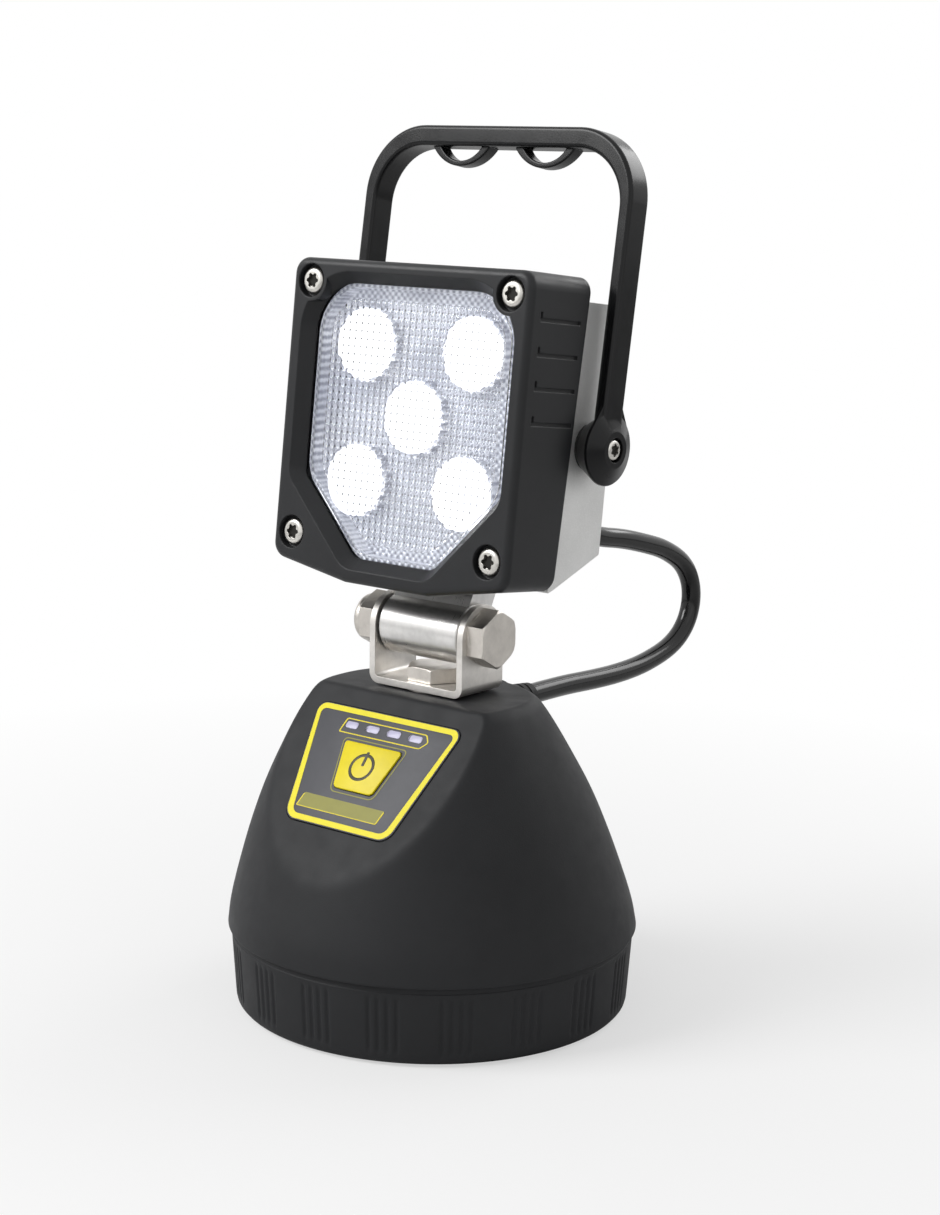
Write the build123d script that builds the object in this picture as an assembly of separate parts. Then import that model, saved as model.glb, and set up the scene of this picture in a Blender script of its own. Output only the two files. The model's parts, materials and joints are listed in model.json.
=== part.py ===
from build123d import *
import math
import os

# Cordless LED work light: a round magnetic base with the battery and the switch panel,
# a U-bracket that swivels on it, a square lamp head that tilts in the bracket, and a
# carrying handle that swings on the sides of the head.
# Millimetres, +Z up, front towards -Y. The origin is the centre of the base's underside.

os.makedirs("parts", exist_ok=True)

# ---------------------------------------------------------------- driving dimensions
# base
BASE_R = 65.0
SKIRT_TOP = 25.0
SKIRT_FOOT_R = 62.2
SKIRT_WALL = 2.8
SKIRT_BOTTOM = 0.6
LIP_R = 61.0
RIB_GROUPS = 18
RIBS_PER_GROUP = 4
RIB_PITCH_DEG = 2.6
RIB_START_DEG = 6.5
RIB_DEPTH = 0.65
RIB_LENGTH = 18.5
DOME_TOP = 101.0
DOME_WALL = 3.0
# stations of the dome: height, half width, half depth, centre's Y, superellipse power
DOME_STATIONS = [
    (25.3, 65.0, 65.0, 0.0, 2.00),
    (33.0, 63.8, 63.6, -0.5, 2.00),
    (44.0, 61.0, 59.4, -1.3, 2.03),
    (57.0, 57.0, 53.8, -2.2, 2.08),
    (70.0, 52.0, 47.6, -3.0, 2.15),
    (84.0, 45.2, 39.6, -4.0, 2.25),
    (94.0, 40.0, 33.0, -4.6, 2.35),
    (101.0, 35.8, 28.0, -5.0, 2.40),
]
COVER_Z = 2.0
COVER_T = 3.0
COVER_R = 57.5
PAD_R = 56.0
CUP_R = 42.0
CUP_TOP = 12.0
SCREW_POST_R = 52.5
GLAND_SEAT_Y = 33.5

# switch panel on the sloping front facet
FACET_Y = -16.6
FACET_SLOPE = 50.0
PANEL_TOP_W, PANEL_BOTTOM_W = 58.5, 41.5
PANEL_NEAR, PANEL_FAR = 6.9, 46.9
PANEL_T = 1.2
PANEL_POCKET = 0.8
BUTTON_NEAR, BUTTON_FAR = 18.2, 34.0
BUTTON_TOP_W, BUTTON_BOTTOM_W = 23.0, 15.4
BUTTON_TRAVEL = 0.7
LED_ROW = 12.9
LED_PITCH = 8.6
BOARD_DEPTH = 11.0

# bracket and pivot
BRACKET_W = 37.4
BRACKET_D = 20.0
BRACKET_T = 2.2
WASHER_T = 0.6
PIVOT_Z = 119.8
BOLT_R = 5.0
HEX_AF = 16.0
HEX_H = 6.4
SWIVEL_HEX_H = 4.6
HEX_FLARE = 1.73
BARREL_R = 9.5
BARREL_LEN = 31.2
RUNNING_GAP = 0.05
FACE_GAP = 0.1

# lamp head, measured from the tilt axis, before it is leant back
HEAD_LEAN = 6.6
BEZEL_HALF_W = 46.65
BEZEL_TOP = 111.0
BEZEL_BOTTOM = 13.0
BEZEL_SHOULDER = 18.2
BEZEL_FRONT = -27.5
BEZEL_WALL = 2.4
WINDOW_HALF_W = 38.6
WINDOW_TOP = 104.0
WINDOW_BOTTOM = 20.5
LENS_FRONT = -23.2
LENS_T = 3.0
HEAD_MID_Z = 65.0
SCREW_SPREAD = 38.9
SHELL_HALF_W = 44.0
SHELL_TOP = 104.0
SHELL_BACK = 22.5
SHELL_FRONT = -20.0
CAVITY_FLOOR = -4.5
FIN_ROOT = 6.0
FIN_GAPS = 10
FIN_PITCH = 7.6
OPTIC_SPREAD = 21.0
OPTIC_R = 11.6
GLAND_Z = 36.2

# handle
HANDLE_Y, HANDLE_Z = 10.5, 61.0
HANDLE_LEAN = 2.5
HANDLE_HALF_W = 52.3
HANDLE_T = 4.5
HANDLE_D = 9.6
HANDLE_LEN = 95.0
HANDLE_CORNER_R = 22.0
BOSS_R = 11.0
HINGE_R = 2.4
SCREW_TOP_X = 54.0
LOOP_X = 16.4
LOOP_HALF = 11.4
LOOP_SAG = 6.0
LOOP_T = 1.7
LOOP_FOOT = 3.4
LOOP_D = 5.0

# cable: its diameter, and the points between the base's gland and the head's gland
CABLE_D = 6.8
CABLE_ROUTE = [
    (0.0, 66.0, 90.0),
    (0.5, 82.0, 89.2),
    (1.1, 98.0, 89.0),
    (1.7, 113.0, 90.2),
    (2.1, 129.5, 94.2),
    (2.4, 138.2, 102.0),
    (2.5, 140.2, 112.8),
    (2.4, 134.6, 122.8),
    (2.1, 122.5, 129.5),
    (1.7, 110.0, 133.2),
    (1.2, 97.0, 136.4),
    (0.8, 84.0, 138.4),
    (0.4, 70.0, 143.0),
]
CABLE_SPLIT = 7
GLAND_LEN = 14.5

# ---------------------------------------------------------------- frames of reference
FACET = Plane(
    origin=(0, FACET_Y, DOME_TOP),
    x_dir=(1, 0, 0),
    z_dir=(0, -math.sin(math.radians(FACET_SLOPE)), math.cos(math.radians(FACET_SLOPE))),
)
HEAD = Location((0, 0, PIVOT_Z), (-HEAD_LEAN, 0, 0))
HANDLE = HEAD * Location((0, HANDLE_Y, HANDLE_Z), (-HANDLE_LEAN, 0, 0))


# ---------------------------------------------------------------- helpers
def rod(radius, low, high, axis="Z", at=(0, 0)):
    """A cylinder along an axis from low to high; at gives its other two coordinates."""
    body = Pos(0, 0, (low + high) / 2) * Cylinder(radius, high - low)
    if axis == "X":
        return Pos(0, at[0], at[1]) * (Rot(0, 90, 0) * body)
    if axis == "Y":
        return Pos(at[0], 0, at[1]) * (Rot(-90, 0, 0) * body)
    return Pos(at[0], at[1], 0) * body


def block(x, y, z):
    """A box from three (low, high) pairs."""
    centre = Pos(sum(x) / 2, sum(y) / 2, sum(z) / 2)
    return centre * Box(x[1] - x[0], y[1] - y[0], z[1] - z[0])


def hexagon(across_flats, low, high):
    """A hexagonal prism along Z with its top corners eased by a flat cone."""
    tall = high - low
    prism = extrude(RegularPolygon(across_flats / math.sqrt(3), 6), tall)
    top_r = across_flats / 2 + 0.3
    crown = Pos(0, 0, tall / 2) * Cone(top_r + HEX_FLARE * tall, top_r, tall)
    return Pos(0, 0, low) * (prism & crown)


def six_lobe_recess(size, depth):
    """The recess of a six-lobe driver, opening at Z = 0 and going down."""
    outline = Circle(size * 0.78)
    outline += PolarLocations(size * 0.76, 6) * Circle(size * 0.27)
    return Pos(0, 0, -depth) * extrude(outline, depth)


def button_screw(head_r, head_h, shank_r, shank_l, recess):
    """A domed screw head with its top at Z = 0, and its shank below."""
    head = Pos(0, 0, -head_h / 2) * Cylinder(head_r, head_h)
    head = fillet(head.edges().sort_by(Axis.Z)[-1:], head_h * 0.55)
    shank = rod(shank_r, -head_h - shank_l, -head_h)
    return head + shank - six_lobe_recess(recess, head_h * 0.7)


def trapezoid(near, far, near_w, far_w, corner):
    """A symmetric trapezoid on the facet; near and far are distances down the slope."""
    outline = Polygon(
        (-near_w / 2, -near), (-far_w / 2, -far), (far_w / 2, -far), (near_w / 2, -near), align=None
    )
    return fillet(outline.vertices(), corner)


def on_facet(sketch, low, high):
    """A sketch on the facet, extruded between two heights above it."""
    return FACET * (Pos(0, 0, low) * extrude(sketch, high - low))


def facet_half_space(height):
    """Everything in front of the facet's plane, moved out by height."""
    return FACET * (Pos(0, 0, height + 50) * Box(300, 300, 100))


# ---------------------------------------------------------------- base
def dome_section(station, inset, z):
    """One closed superellipse of the dome, drawn in by inset."""
    _, half_w, half_d, centre_y, power = station
    points = []
    for step in range(32):
        angle = 2 * math.pi * step / 32
        c, s = math.cos(angle), math.sin(angle)
        x = (half_w - inset) * math.copysign(abs(c) ** (2 / power), c)
        y = (half_d - inset) * math.copysign(abs(s) ** (2 / power), s)
        points.append((x, centre_y + y))
    return Pos(0, 0, z) * make_face(Spline(*points, periodic=True))


def dome_solid(inset):
    sections = [dome_section(s, inset, s[0]) for s in DOME_STATIONS]
    return loft(sections)


def base_housing():
    """The moulded upper shell of the base, with its facet, bosses and openings."""
    outside = dome_solid(0) - facet_half_space(0)
    rim = outside.edges().filter_by_position(Axis.Z, DOME_TOP - 0.1, DOME_TOP + 0.1)
    outside = fillet(rim, 2.5)
    inside = dome_solid(DOME_WALL) - facet_half_space(-DOME_WALL)
    inside -= Pos(0, 0, DOME_TOP) * Box(200, 200, 2 * DOME_WALL)
    shell = outside - inside
    # a lip that drops inside the skirt ring, and four posts for the cover's screws
    lip = rod(LIP_R, SKIRT_TOP - 4, SKIRT_TOP + 1) + rod(LIP_R + 1.6, SKIRT_TOP + 0.5, SKIRT_TOP + 4)
    shell += lip - rod(LIP_R - 1.8, SKIRT_TOP - 5, SKIRT_TOP + 5)
    for x, y in screw_post_places():
        post = rod(4.0, 7.6, 62, at=(x, y)) & (dome_solid(0.5) + rod(BASE_R, 0, 26))
        shell += post
        shell -= rod(1.5, 7.0, 24, at=(x, y))
    # seats for the cable gland and the charging socket at the back
    shell += rod(7.8, 26, GLAND_SEAT_Y, "Y", at=(0, 90))
    shell -= rod(5.0, 20, 40, "Y", at=(0, 90))
    shell -= rod(6.6, GLAND_SEAT_Y, 50, "Y", at=(0, 90))
    shell -= rod(9.2, 54.5, 70, "Y", at=(0, 44))
    shell += rod(10.6, 51.0, 54.5, "Y", at=(0, 44))
    shell -= rod(5.5, 40, 60, "Y", at=(0, 44))
    # swivel bolt's hole, panel pocket, and the openings under the panel
    shell -= rod(BOLT_R + 0.3, 90, 110)
    shell -= on_facet(trapezoid(PANEL_NEAR - 0.3, PANEL_FAR + 0.3, PANEL_TOP_W + 0.7,
                                PANEL_BOTTOM_W + 0.5, 4.2), -PANEL_POCKET, 5)
    shell -= on_facet(Pos(0, -26.5) * Circle(5.0), -8, 5)
    for x in led_places():
        shell -= on_facet(Pos(x, -LED_ROW) * SlotOverall(6.0, 3.6), -8, 5)
    # posts that carry the control board, parallel to the facet
    for x, s in board_screw_places():
        shell += on_facet(Pos(x, -s) * Circle(3.0), -BOARD_DEPTH, -DOME_WALL + 0.3)
        shell -= on_facet(Pos(x, -s) * Circle(1.1), -BOARD_DEPTH - 1, -DOME_WALL - 1.0)
    return shell


def screw_post_places():
    return [
        (SCREW_POST_R * math.cos(math.radians(a)), SCREW_POST_R * math.sin(math.radians(a)))
        for a in (30, 150, 210, 330)
    ]


def led_places():
    return [LED_PITCH * (i - 1.5) for i in range(4)]


def board_screw_places():
    return [(-19, 16), (19, 16), (-15, 38), (15, 38)]


def skirt_ring():
    """The ring round the foot of the base, with its groups of fine grip grooves."""
    top_r = BASE_R - 1.0
    outline = Polygon(
        (0, SKIRT_BOTTOM), (SKIRT_FOOT_R, SKIRT_BOTTOM), (top_r, SKIRT_TOP), (0, SKIRT_TOP), align=None
    )
    ring = revolve(Plane.XZ * outline, Axis.Z)
    ring = fillet(ring.edges().sort_by(Axis.Z)[:1], 2.4)
    ring = chamfer(ring.edges().sort_by(Axis.Z)[-1:], 0.5)
    ring -= rod(top_r - SKIRT_WALL, 7.5, SKIRT_TOP + 1)
    ring -= rod(49.0, 4, 9)
    ring -= rod(COVER_R + 0.4, -1, COVER_Z + COVER_T)
    ring -= [rod(2.0, 4, 9, at=p) for p in screw_post_places()]
    grooves = []
    mid_z = (SKIRT_BOTTOM + SKIRT_TOP) / 2
    mid_r = (SKIRT_FOOT_R + top_r) / 2
    draft = math.degrees(math.atan2(top_r - SKIRT_FOOT_R, SKIRT_TOP - SKIRT_BOTTOM))
    groove = Pos(0, -mid_r, mid_z) * (Rot(draft, 0, 0) * Box(1.1, 2 * RIB_DEPTH, RIB_LENGTH))
    for group in range(RIB_GROUPS):
        for rib in range(RIBS_PER_GROUP):
            turn = RIB_START_DEG + group * 360 / RIB_GROUPS
            turn += (rib - (RIBS_PER_GROUP - 1) / 2) * RIB_PITCH_DEG
            grooves.append(Rot(0, 0, turn) * groove)
    return ring - grooves


def bottom_cover():
    """The plastic disc that closes the base, open in the middle for the magnet."""
    plate = rod(COVER_R, COVER_Z, COVER_Z + COVER_T) - rod(CUP_R + 0.3, 0, 8)
    for place in screw_post_places():
        plate -= rod(1.9, 0, 8, at=place)
        plate -= rod(3.6, COVER_Z - 1, COVER_Z + 1.6, at=place)
    for place in cup_screw_places():
        plate -= rod(0.9, 0, 8, at=place)
    return plate


def cup_screw_places():
    return [(45.2 * math.cos(math.radians(a)), 45.2 * math.sin(math.radians(a))) for a in (90, 210, 330)]


def cover_screws():
    screw = rod(3.4, COVER_Z + 0.1, COVER_Z + 1.6) + rod(1.5, COVER_Z + 1.6, 22)
    return Compound([Pos(x, y, 0) * screw for x, y in screw_post_places()])


def magnet_cup():
    """The steel cup that gathers the magnet's field, with a flange on the cover."""
    cup = rod(CUP_R, COVER_Z, CUP_TOP) + rod(48.2, COVER_Z + COVER_T, COVER_Z + COVER_T + 1.6)
    cup -= rod(CUP_R - 2.0, 0, CUP_TOP - 2.5)
    for place in cup_screw_places():
        cup -= rod(1.2, 4, 8, at=place)
    return cup


def ring_magnet():
    return rod(39.6, COVER_Z + 0.3, CUP_TOP - 2.5) - rod(16, 0, 20)


def cup_screws():
    screw = rod(2.2, COVER_Z + COVER_T + 1.6, COVER_Z + COVER_T + 3.2)
    screw += rod(0.9, COVER_Z + 0.3, COVER_Z + COVER_T + 1.6)
    return Compound([Pos(x, y, 0) * screw for x, y in cup_screw_places()])


def rubber_foot_pad():
    pad = rod(PAD_R, 0, COVER_Z)
    return chamfer(pad.edges().sort_by(Axis.Z)[:1], 0.6)


def cell_places():
    return [(-9.8, 13.5), (9.8, 13.5), (0, -3.5)]


def battery_cells():
    cell = rod(9.1, 14, 78) + rod(3.0, 78, 79)
    return Compound([Pos(x, y, 0) * cell for x, y in cell_places()])


def cell_holder(low, high):
    """A plate with a collar round each of the three cells."""
    holder = Part()
    for x, y in cell_places():
        holder += rod(11.0, low, high, at=(x, y))
    return holder


def battery_tray():
    tray = cell_holder(CUP_TOP, 28) + rod(24, CUP_TOP, 14, at=(0, 8))
    for place in cell_places():
        tray -= rod(9.3, 14, 40, at=place)
    return tray


def battery_cap():
    cap = cell_holder(72, 80.5)
    for place in cell_places():
        cap -= rod(9.3, 60, 78, at=place)
        cap -= rod(3.3, 60, 79.2, at=place)
    return cap


def control_board():
    """The charging and switching board, parallel to the facet."""
    outline = Pos(0, -27) * RectangleRounded(46, 32, 2)
    board = on_facet(outline, -BOARD_DEPTH - 1.6, -BOARD_DEPTH)
    for x, s in board_screw_places():
        board -= on_facet(Pos(x, -s) * Circle(1.3), -BOARD_DEPTH - 2, -BOARD_DEPTH + 1)
    chips = [(-10, 28, 9, 7), (11, 24, 6, 6), (9, 35, 8, 4)]
    for x, s, w, h in chips:
        board += on_facet(Pos(x, -s) * Rectangle(w, h), -BOARD_DEPTH - 3.2, -BOARD_DEPTH - 1.6)
    return board


def board_screws():
    screws = []
    for x, s in board_screw_places():
        centre = Pos(x, -s)
        head = on_facet(centre * Circle(2.2), -BOARD_DEPTH - 3.1, -BOARD_DEPTH - 1.6)
        screws.append(head + on_facet(centre * Circle(1.1), -BOARD_DEPTH - 1.6, -DOME_WALL - 2.0))
    return Compound(screws)


def tactile_switch():
    body = on_facet(Pos(0, -26.5) * Rectangle(6, 6), -BOARD_DEPTH, -BOARD_DEPTH + 3.5)
    return body - on_facet(Pos(0, -26.5) * Circle(1.8), -BOARD_DEPTH + 1.0, 0)


def switch_plunger():
    return on_facet(Pos(0, -26.5) * Circle(1.72), -BOARD_DEPTH + 1.8, -BOARD_DEPTH + 4.6)


def power_button():
    """The key on the panel, with the stem that reaches the switch."""
    key = on_facet(trapezoid(BUTTON_NEAR, BUTTON_FAR, BUTTON_TOP_W, BUTTON_BOTTOM_W, 1.4),
                   PANEL_T - PANEL_POCKET - 0.35, PANEL_T - PANEL_POCKET + 0.7)
    return key + on_facet(Pos(0, -26.5) * Circle(3.2), -BOARD_DEPTH + 4.6, PANEL_T - PANEL_POCKET - 0.35)


def panel_overlay():
    """The printed plate in the facet's pocket, cut for the key and the four windows."""
    top = PANEL_T - PANEL_POCKET
    plate = on_facet(trapezoid(PANEL_NEAR, PANEL_FAR, PANEL_TOP_W, PANEL_BOTTOM_W, 4.0), -PANEL_POCKET, top)
    plate -= on_facet(trapezoid(BUTTON_NEAR - 0.2, BUTTON_FAR + 0.2, BUTTON_TOP_W + 0.5,
                                BUTTON_BOTTOM_W + 0.4, 1.6), top - 1.15, top + 1)
    plate -= on_facet(Pos(0, -26.5) * Circle(3.6), -2, 2)
    for x in led_places():
        plate -= on_facet(Pos(x, -LED_ROW) * SlotOverall(4.8, 2.4), -2, 2)
    return plate


def led_windows():
    """The four clear windows over the charge indicators."""
    height = PANEL_T - PANEL_POCKET
    return Compound([on_facet(Pos(x, -LED_ROW) * SlotOverall(4.7, 2.3), -3.5, height) for x in led_places()])


def indicator_leds():
    leds = []
    for x in led_places():
        leds.append(on_facet(Pos(x, -LED_ROW) * Circle(1.5), -BOARD_DEPTH, -3.6))
    return Compound(leds)


def dc_socket():
    """The round charging socket at the back, with its centre pin."""
    body = rod(6.8, 54.5, 56.0, "Y", at=(0, 44)) + rod(5.3, 40, 54.5, "Y", at=(0, 44))
    body -= rod(2.9, 44, 57, "Y", at=(0, 44))
    return body + rod(1.0, 43, 54, "Y", at=(0, 44))


def dc_socket_nut():
    nut = Rot(90, 0, 0) * hexagon(14, 0, 2.4)
    return Pos(0, 51.0, 44) * nut - rod(5.4, 40, 60, "Y", at=(0, 44))


def dust_plug():
    plug = rod(8.3, 56.1, 58.0, "Y", at=(0, 44))
    plug = fillet(plug.edges().sort_by(Axis.Y)[-1:], 0.7)
    plug += rod(2.82, 48.5, 56.2, "Y", at=(0, 44))
    plug += block((-1.6, 1.6), (56.1, 58.0), (35.4, 37))
    return plug - rod(1.3, 47, 55, "Y", at=(0, 44))


def strain_relief(length):
    """A moulded sleeve along +Z: a barb in the wall, a collar outside, then a ribbed taper."""
    sleeve = rod(4.9, -4.0, 0) + rod(5.8, 0, 2.4)
    taper = Pos(0, 0, 2.4 + (length - 2.4) / 2) * Cone(5.3, 4.1, length - 2.4)
    sleeve += taper
    for i in range(3):
        low = 4.6 + i * 3.0
        sleeve -= rod(8, low, low + 1.0) - rod(4.1, low - 1, low + 2)
    return sleeve


def base_cable_gland():
    return Pos(0, GLAND_SEAT_Y, 90) * (Rot(-90, 0, 0) * strain_relief(GLAND_LEN))


def support_plate():
    """The steel plate that spreads the swivel bolt's pull inside the dome."""
    plate = block((-17, 17), (-9, 15), (95, 98))
    return fillet(plate.edges().filter_by(Axis.Z), 4) - rod(BOLT_R + 0.2, 80, 110)


def swivel_bolt():
    top = DOME_TOP + WASHER_T + BRACKET_T + FACE_GAP
    return hexagon(HEX_AF, top, top + SWIVEL_HEX_H) + rod(BOLT_R, 85.5, top)


def swivel_nut():
    return hexagon(HEX_AF, 87.0, 95.0) - rod(BOLT_R, 80, 100)


def swivel_washer():
    return rod(9.4, DOME_TOP, DOME_TOP + WASHER_T - FACE_GAP) - rod(BOLT_R, 90, 110)


# ---------------------------------------------------------------- bracket
def u_bracket():
    """Bent stainless strip: a floor under the swivel bolt and two round-topped ears."""
    low = DOME_TOP + WASHER_T
    profile = Pos(0, (low + PIVOT_Z + 12) / 2) * Rectangle(BRACKET_W, PIVOT_Z + 12 - low)
    profile = fillet(profile.vertices().group_by(Axis.Y)[0], 3.4)
    gap = Pos(0, (low + BRACKET_T + 150) / 2) * Rectangle(
        BRACKET_W - 2 * BRACKET_T, 150 - low - BRACKET_T)
    gap = fillet(gap.vertices().group_by(Axis.Y)[0], 1.3)
    strip = extrude(Plane.XZ * (profile - gap), BRACKET_D / 2, both=True)
    ear = rod(BRACKET_D / 2, -30, 30, "X", at=(0, PIVOT_Z)) + block((-30, 30), (-10, 10), (90, PIVOT_Z))
    strip &= ear
    strip -= rod(BOLT_R + RUNNING_GAP, 90, 110)
    return strip - rod(BOLT_R + RUNNING_GAP, -30, 30, "X", at=(0, PIVOT_Z))


def pivot_bolt():
    half = BRACKET_W / 2
    head = Pos(half, 0, PIVOT_Z) * (Rot(0, 90, 0) * hexagon(HEX_AF, 0, HEX_H))
    washer = rod(8.3, half, half + 0.9, "X", at=(0, PIVOT_Z))
    return head + washer + rod(BOLT_R, -half - 11, half, "X", at=(0, PIVOT_Z))


def pivot_nut():
    """A lock nut: a hexagon with a rounded collar for its nylon ring."""
    body = hexagon(HEX_AF, 0, 6.5) + rod(7.6, 6.0, 9.8)
    body = fillet(body.edges().sort_by(Axis.Z)[-1:], 1.8)
    nut = Pos(-BRACKET_W / 2, 0, PIVOT_Z) * (Rot(0, -90, 0) * body)
    return nut - rod(BOLT_R, -40, 0, "X", at=(0, PIVOT_Z))


def friction_washers():
    inner = BRACKET_W / 2 - BRACKET_T
    width = inner - BARREL_LEN / 2 - FACE_GAP
    ring = rod(8.0, inner - width, inner, "X", at=(0, PIVOT_Z)) - rod(BOLT_R, -30, 30, "X", at=(0, PIVOT_Z))
    return Compound([ring, mirror(ring, Plane.YZ)])


# ---------------------------------------------------------------- lamp head
def on_head(part):
    return HEAD * part


def front_sketch(sketch, front, back):
    """A sketch in X and Z of the head, extruded from front to back along Y."""
    return Pos(0, back, 0) * extrude(Plane.XZ * sketch, back - front)


def head_outline(inset):
    """The bezel's face: square, with a shallow keel along the bottom."""
    half = BEZEL_HALF_W - inset
    outline = Polygon(
        (-half, BEZEL_TOP - inset), (-half, BEZEL_SHOULDER + inset), (-16.5, BEZEL_BOTTOM + inset),
        (16.5, BEZEL_BOTTOM + inset), (half, BEZEL_SHOULDER + inset), (half, BEZEL_TOP - inset),
        align=None,
    )
    return fillet(outline.vertices(), max(5.0 - inset, 1.5))


def window_outline(grow):
    """The lens opening: large round corners above and long chamfers below."""
    half = WINDOW_HALF_W + grow
    low, high = WINDOW_BOTTOM - grow, WINDOW_TOP + grow
    outline = Polygon(
        (-half, high), (-half, 44.5 - grow / 2), (-15.5 - grow / 2, low),
        (15.5 + grow / 2, low), (half, 44.5 - grow / 2), (half, high), align=None,
    )
    upper = outline.vertices().group_by(Axis.Y)[-1]
    outline = fillet(upper, 15.5 + grow)
    lower = outline.vertices().sort_by(Axis.Y)[:4]
    return fillet(lower, 5.0)


def corner_places():
    return [
        (sx * SCREW_SPREAD, HEAD_MID_Z + sz * SCREW_SPREAD) for sx in (-1, 1) for sz in (-1, 1)
    ]


def front_bezel():
    """The deep moulded frame that clamps the lens and wraps the housing's front."""
    frame = front_sketch(head_outline(0), BEZEL_FRONT, 2.0)
    front_rim = frame.edges().filter_by_position(Axis.Y, BEZEL_FRONT - 0.1, BEZEL_FRONT + 0.1)
    frame = fillet(front_rim, 2.2)
    frame -= front_sketch(head_outline(BEZEL_WALL), SHELL_FRONT, 10)
    # the sloping reveal, interrupted by a round boss at each screw
    reveal = Pos(0, LENS_FRONT, 0) * extrude(
        Plane.XZ * window_outline(0), LENS_FRONT - BEZEL_FRONT + 0.2, taper=-38)
    bosses = Compound([rod(6.4, -30, -18, "Y", at=p) for p in corner_places()])
    frame -= reveal - bosses
    frame -= front_sketch(window_outline(-0.6), -30, -18)
    frame -= front_sketch(window_outline(2.4), LENS_FRONT, -18)
    for place in corner_places():
        frame -= rod(5.2, -30, -24.6, "Y", at=place)
        frame -= rod(2.3, -30, -10, "Y", at=place)
    # the rear edge runs a little forward towards the bottom
    frame -= Pos(0, 1.2, BEZEL_TOP) * (Rot(-3.4, 0, 0) * block((-60, 60), (0, 30), (-130, 30)))
    # grip marks on both side walls, each with a short hook at its front end
    for z in (97.3, 87.2, 77.3, 67.2):
        for side in (-1, 1):
            face = side * BEZEL_HALF_W
            frame -= block((face - 0.7, face + 0.7), (-22.4, -2.6), (z - 0.55, z + 0.55))
            frame -= block((face - 0.7, face + 0.7), (-22.4, -21.3), (z, z + 2.3))
    return on_head(frame)


def bezel_screws():
    screw = button_screw(4.15, 2.5, 2.0, 12.0, 2.3)
    return Compound([on_head(Pos(x, -27.1, z) * (Rot(90, 0, 0) * screw)) for x, z in corner_places()])


def lens():
    """The clear cover, stepped so that it stands into the bezel's opening."""
    plate = front_sketch(window_outline(2.0), LENS_FRONT + 0.6, LENS_FRONT + LENS_T)
    return on_head(plate + front_sketch(window_outline(-0.9), LENS_FRONT, LENS_FRONT + LENS_T))


def lens_gasket():
    ring = front_sketch(window_outline(2.0) - window_outline(0.9), LENS_FRONT + LENS_T, SHELL_FRONT + 1.2)
    return on_head(ring)


def heat_sink_housing():
    """The die-cast body: a front tray for the lamp parts and upright fins at the back."""
    flange = front_sketch(head_outline(BEZEL_WALL + 0.3), SHELL_FRONT, -3.0)
    side = Polygon(
        (-3.0, 17.0), (-0.8, 17.8), (SHELL_BACK, 28.9), (SHELL_BACK, SHELL_TOP), (-3.0, SHELL_TOP),
        align=None,
    )
    shell = extrude(Plane.YZ * side, SHELL_HALF_W, both=True)
    rear = shell.edges().filter_by_position(Axis.Y, SHELL_BACK - 0.1, SHELL_BACK + 0.1)
    shell = fillet(rear, 1.8)
    shell += flange
    for i in range(FIN_GAPS):
        x = FIN_PITCH * (i - (FIN_GAPS - 1) / 2)
        low = GLAND_Z + 12 if abs(x) < 16 else 0
        shell -= block((x - 2.5, x + 2.5), (FIN_ROOT, 40), (low, 120))
    tray = head_outline(BEZEL_WALL + 3.4)
    posts = Compound([rod(6.6, -20, 0, "Y", at=p) for p in corner_places()])
    shell -= front_sketch(tray, SHELL_FRONT - 1, CAVITY_FLOOR) - posts
    shell -= front_sketch(window_outline(2.3), SHELL_FRONT - 1, SHELL_FRONT + 1.2)
    for place in corner_places():
        shell -= rod(2.0, -21, -8, "Y", at=place)
    shell -= rod(5.0, 0, 30, "Y", at=(0, GLAND_Z))
    shell -= rod(HINGE_R + 0.1, 37.8, 50, "X", at=(HANDLE_Y, HANDLE_Z))
    shell -= rod(HINGE_R + 0.1, -50, -37.8, "X", at=(HANDLE_Y, HANDLE_Z))
    for place in knuckle_screw_places():
        shell -= knuckle_frame() * rod(2.0, -1, 12, at=place)
    return on_head(shell)


def knuckle_frame():
    """Where the knuckle meets the sloping underside: Z goes up into the housing."""
    slope = math.degrees(math.atan2(28.9 - 17.8, SHELL_BACK + 0.8))
    return Pos(0, 10.5, 23.13) * Rot(slope, 0, 0)


def knuckle_screw_places():
    return [(-9, 5.6), (9, 5.6)]


def tilt_knuckle():
    """The pivot barrel with its web and the plate that bolts under the housing."""
    half = BARREL_LEN / 2
    barrel = rod(BARREL_R, -half, half, "X")
    barrel = chamfer(barrel.edges().filter_by(GeomType.CIRCLE), 0.4)
    web_side = Polygon((-5.5, 3), (5.5, 3), (12, 21), (-1.0, 16.3), align=None)
    web = extrude(Plane.YZ * web_side, half - 0.5, both=True)
    plate = knuckle_frame() * block((-15, 15), (-9.5, 9.5), (-3.2, 0))
    for place in knuckle_screw_places():
        plate -= knuckle_frame() * rod(2.2, -5, 2, at=place)
    return on_head(barrel + web + plate - rod(BOLT_R + RUNNING_GAP, -30, 30, "X"))


def knuckle_screws():
    """Two screws behind the web that hold the knuckle's plate to the housing."""
    screw = Rot(180, 0, 0) * button_screw(3.5, 2.4, 2.0, 11.5, 2.0)
    screw = Pos(0, 0, -3.2 - 2.4) * screw
    return Compound([on_head(knuckle_frame() * (Pos(x, y, 0) * screw)) for x, y in knuckle_screw_places()])


def optic_places():
    places = [(0, HEAD_MID_Z)]
    for sx in (-1, 1):
        for sz in (-1, 1):
            places.append((sx * OPTIC_SPREAD, HEAD_MID_Z + sz * OPTIC_SPREAD))
    return places


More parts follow.
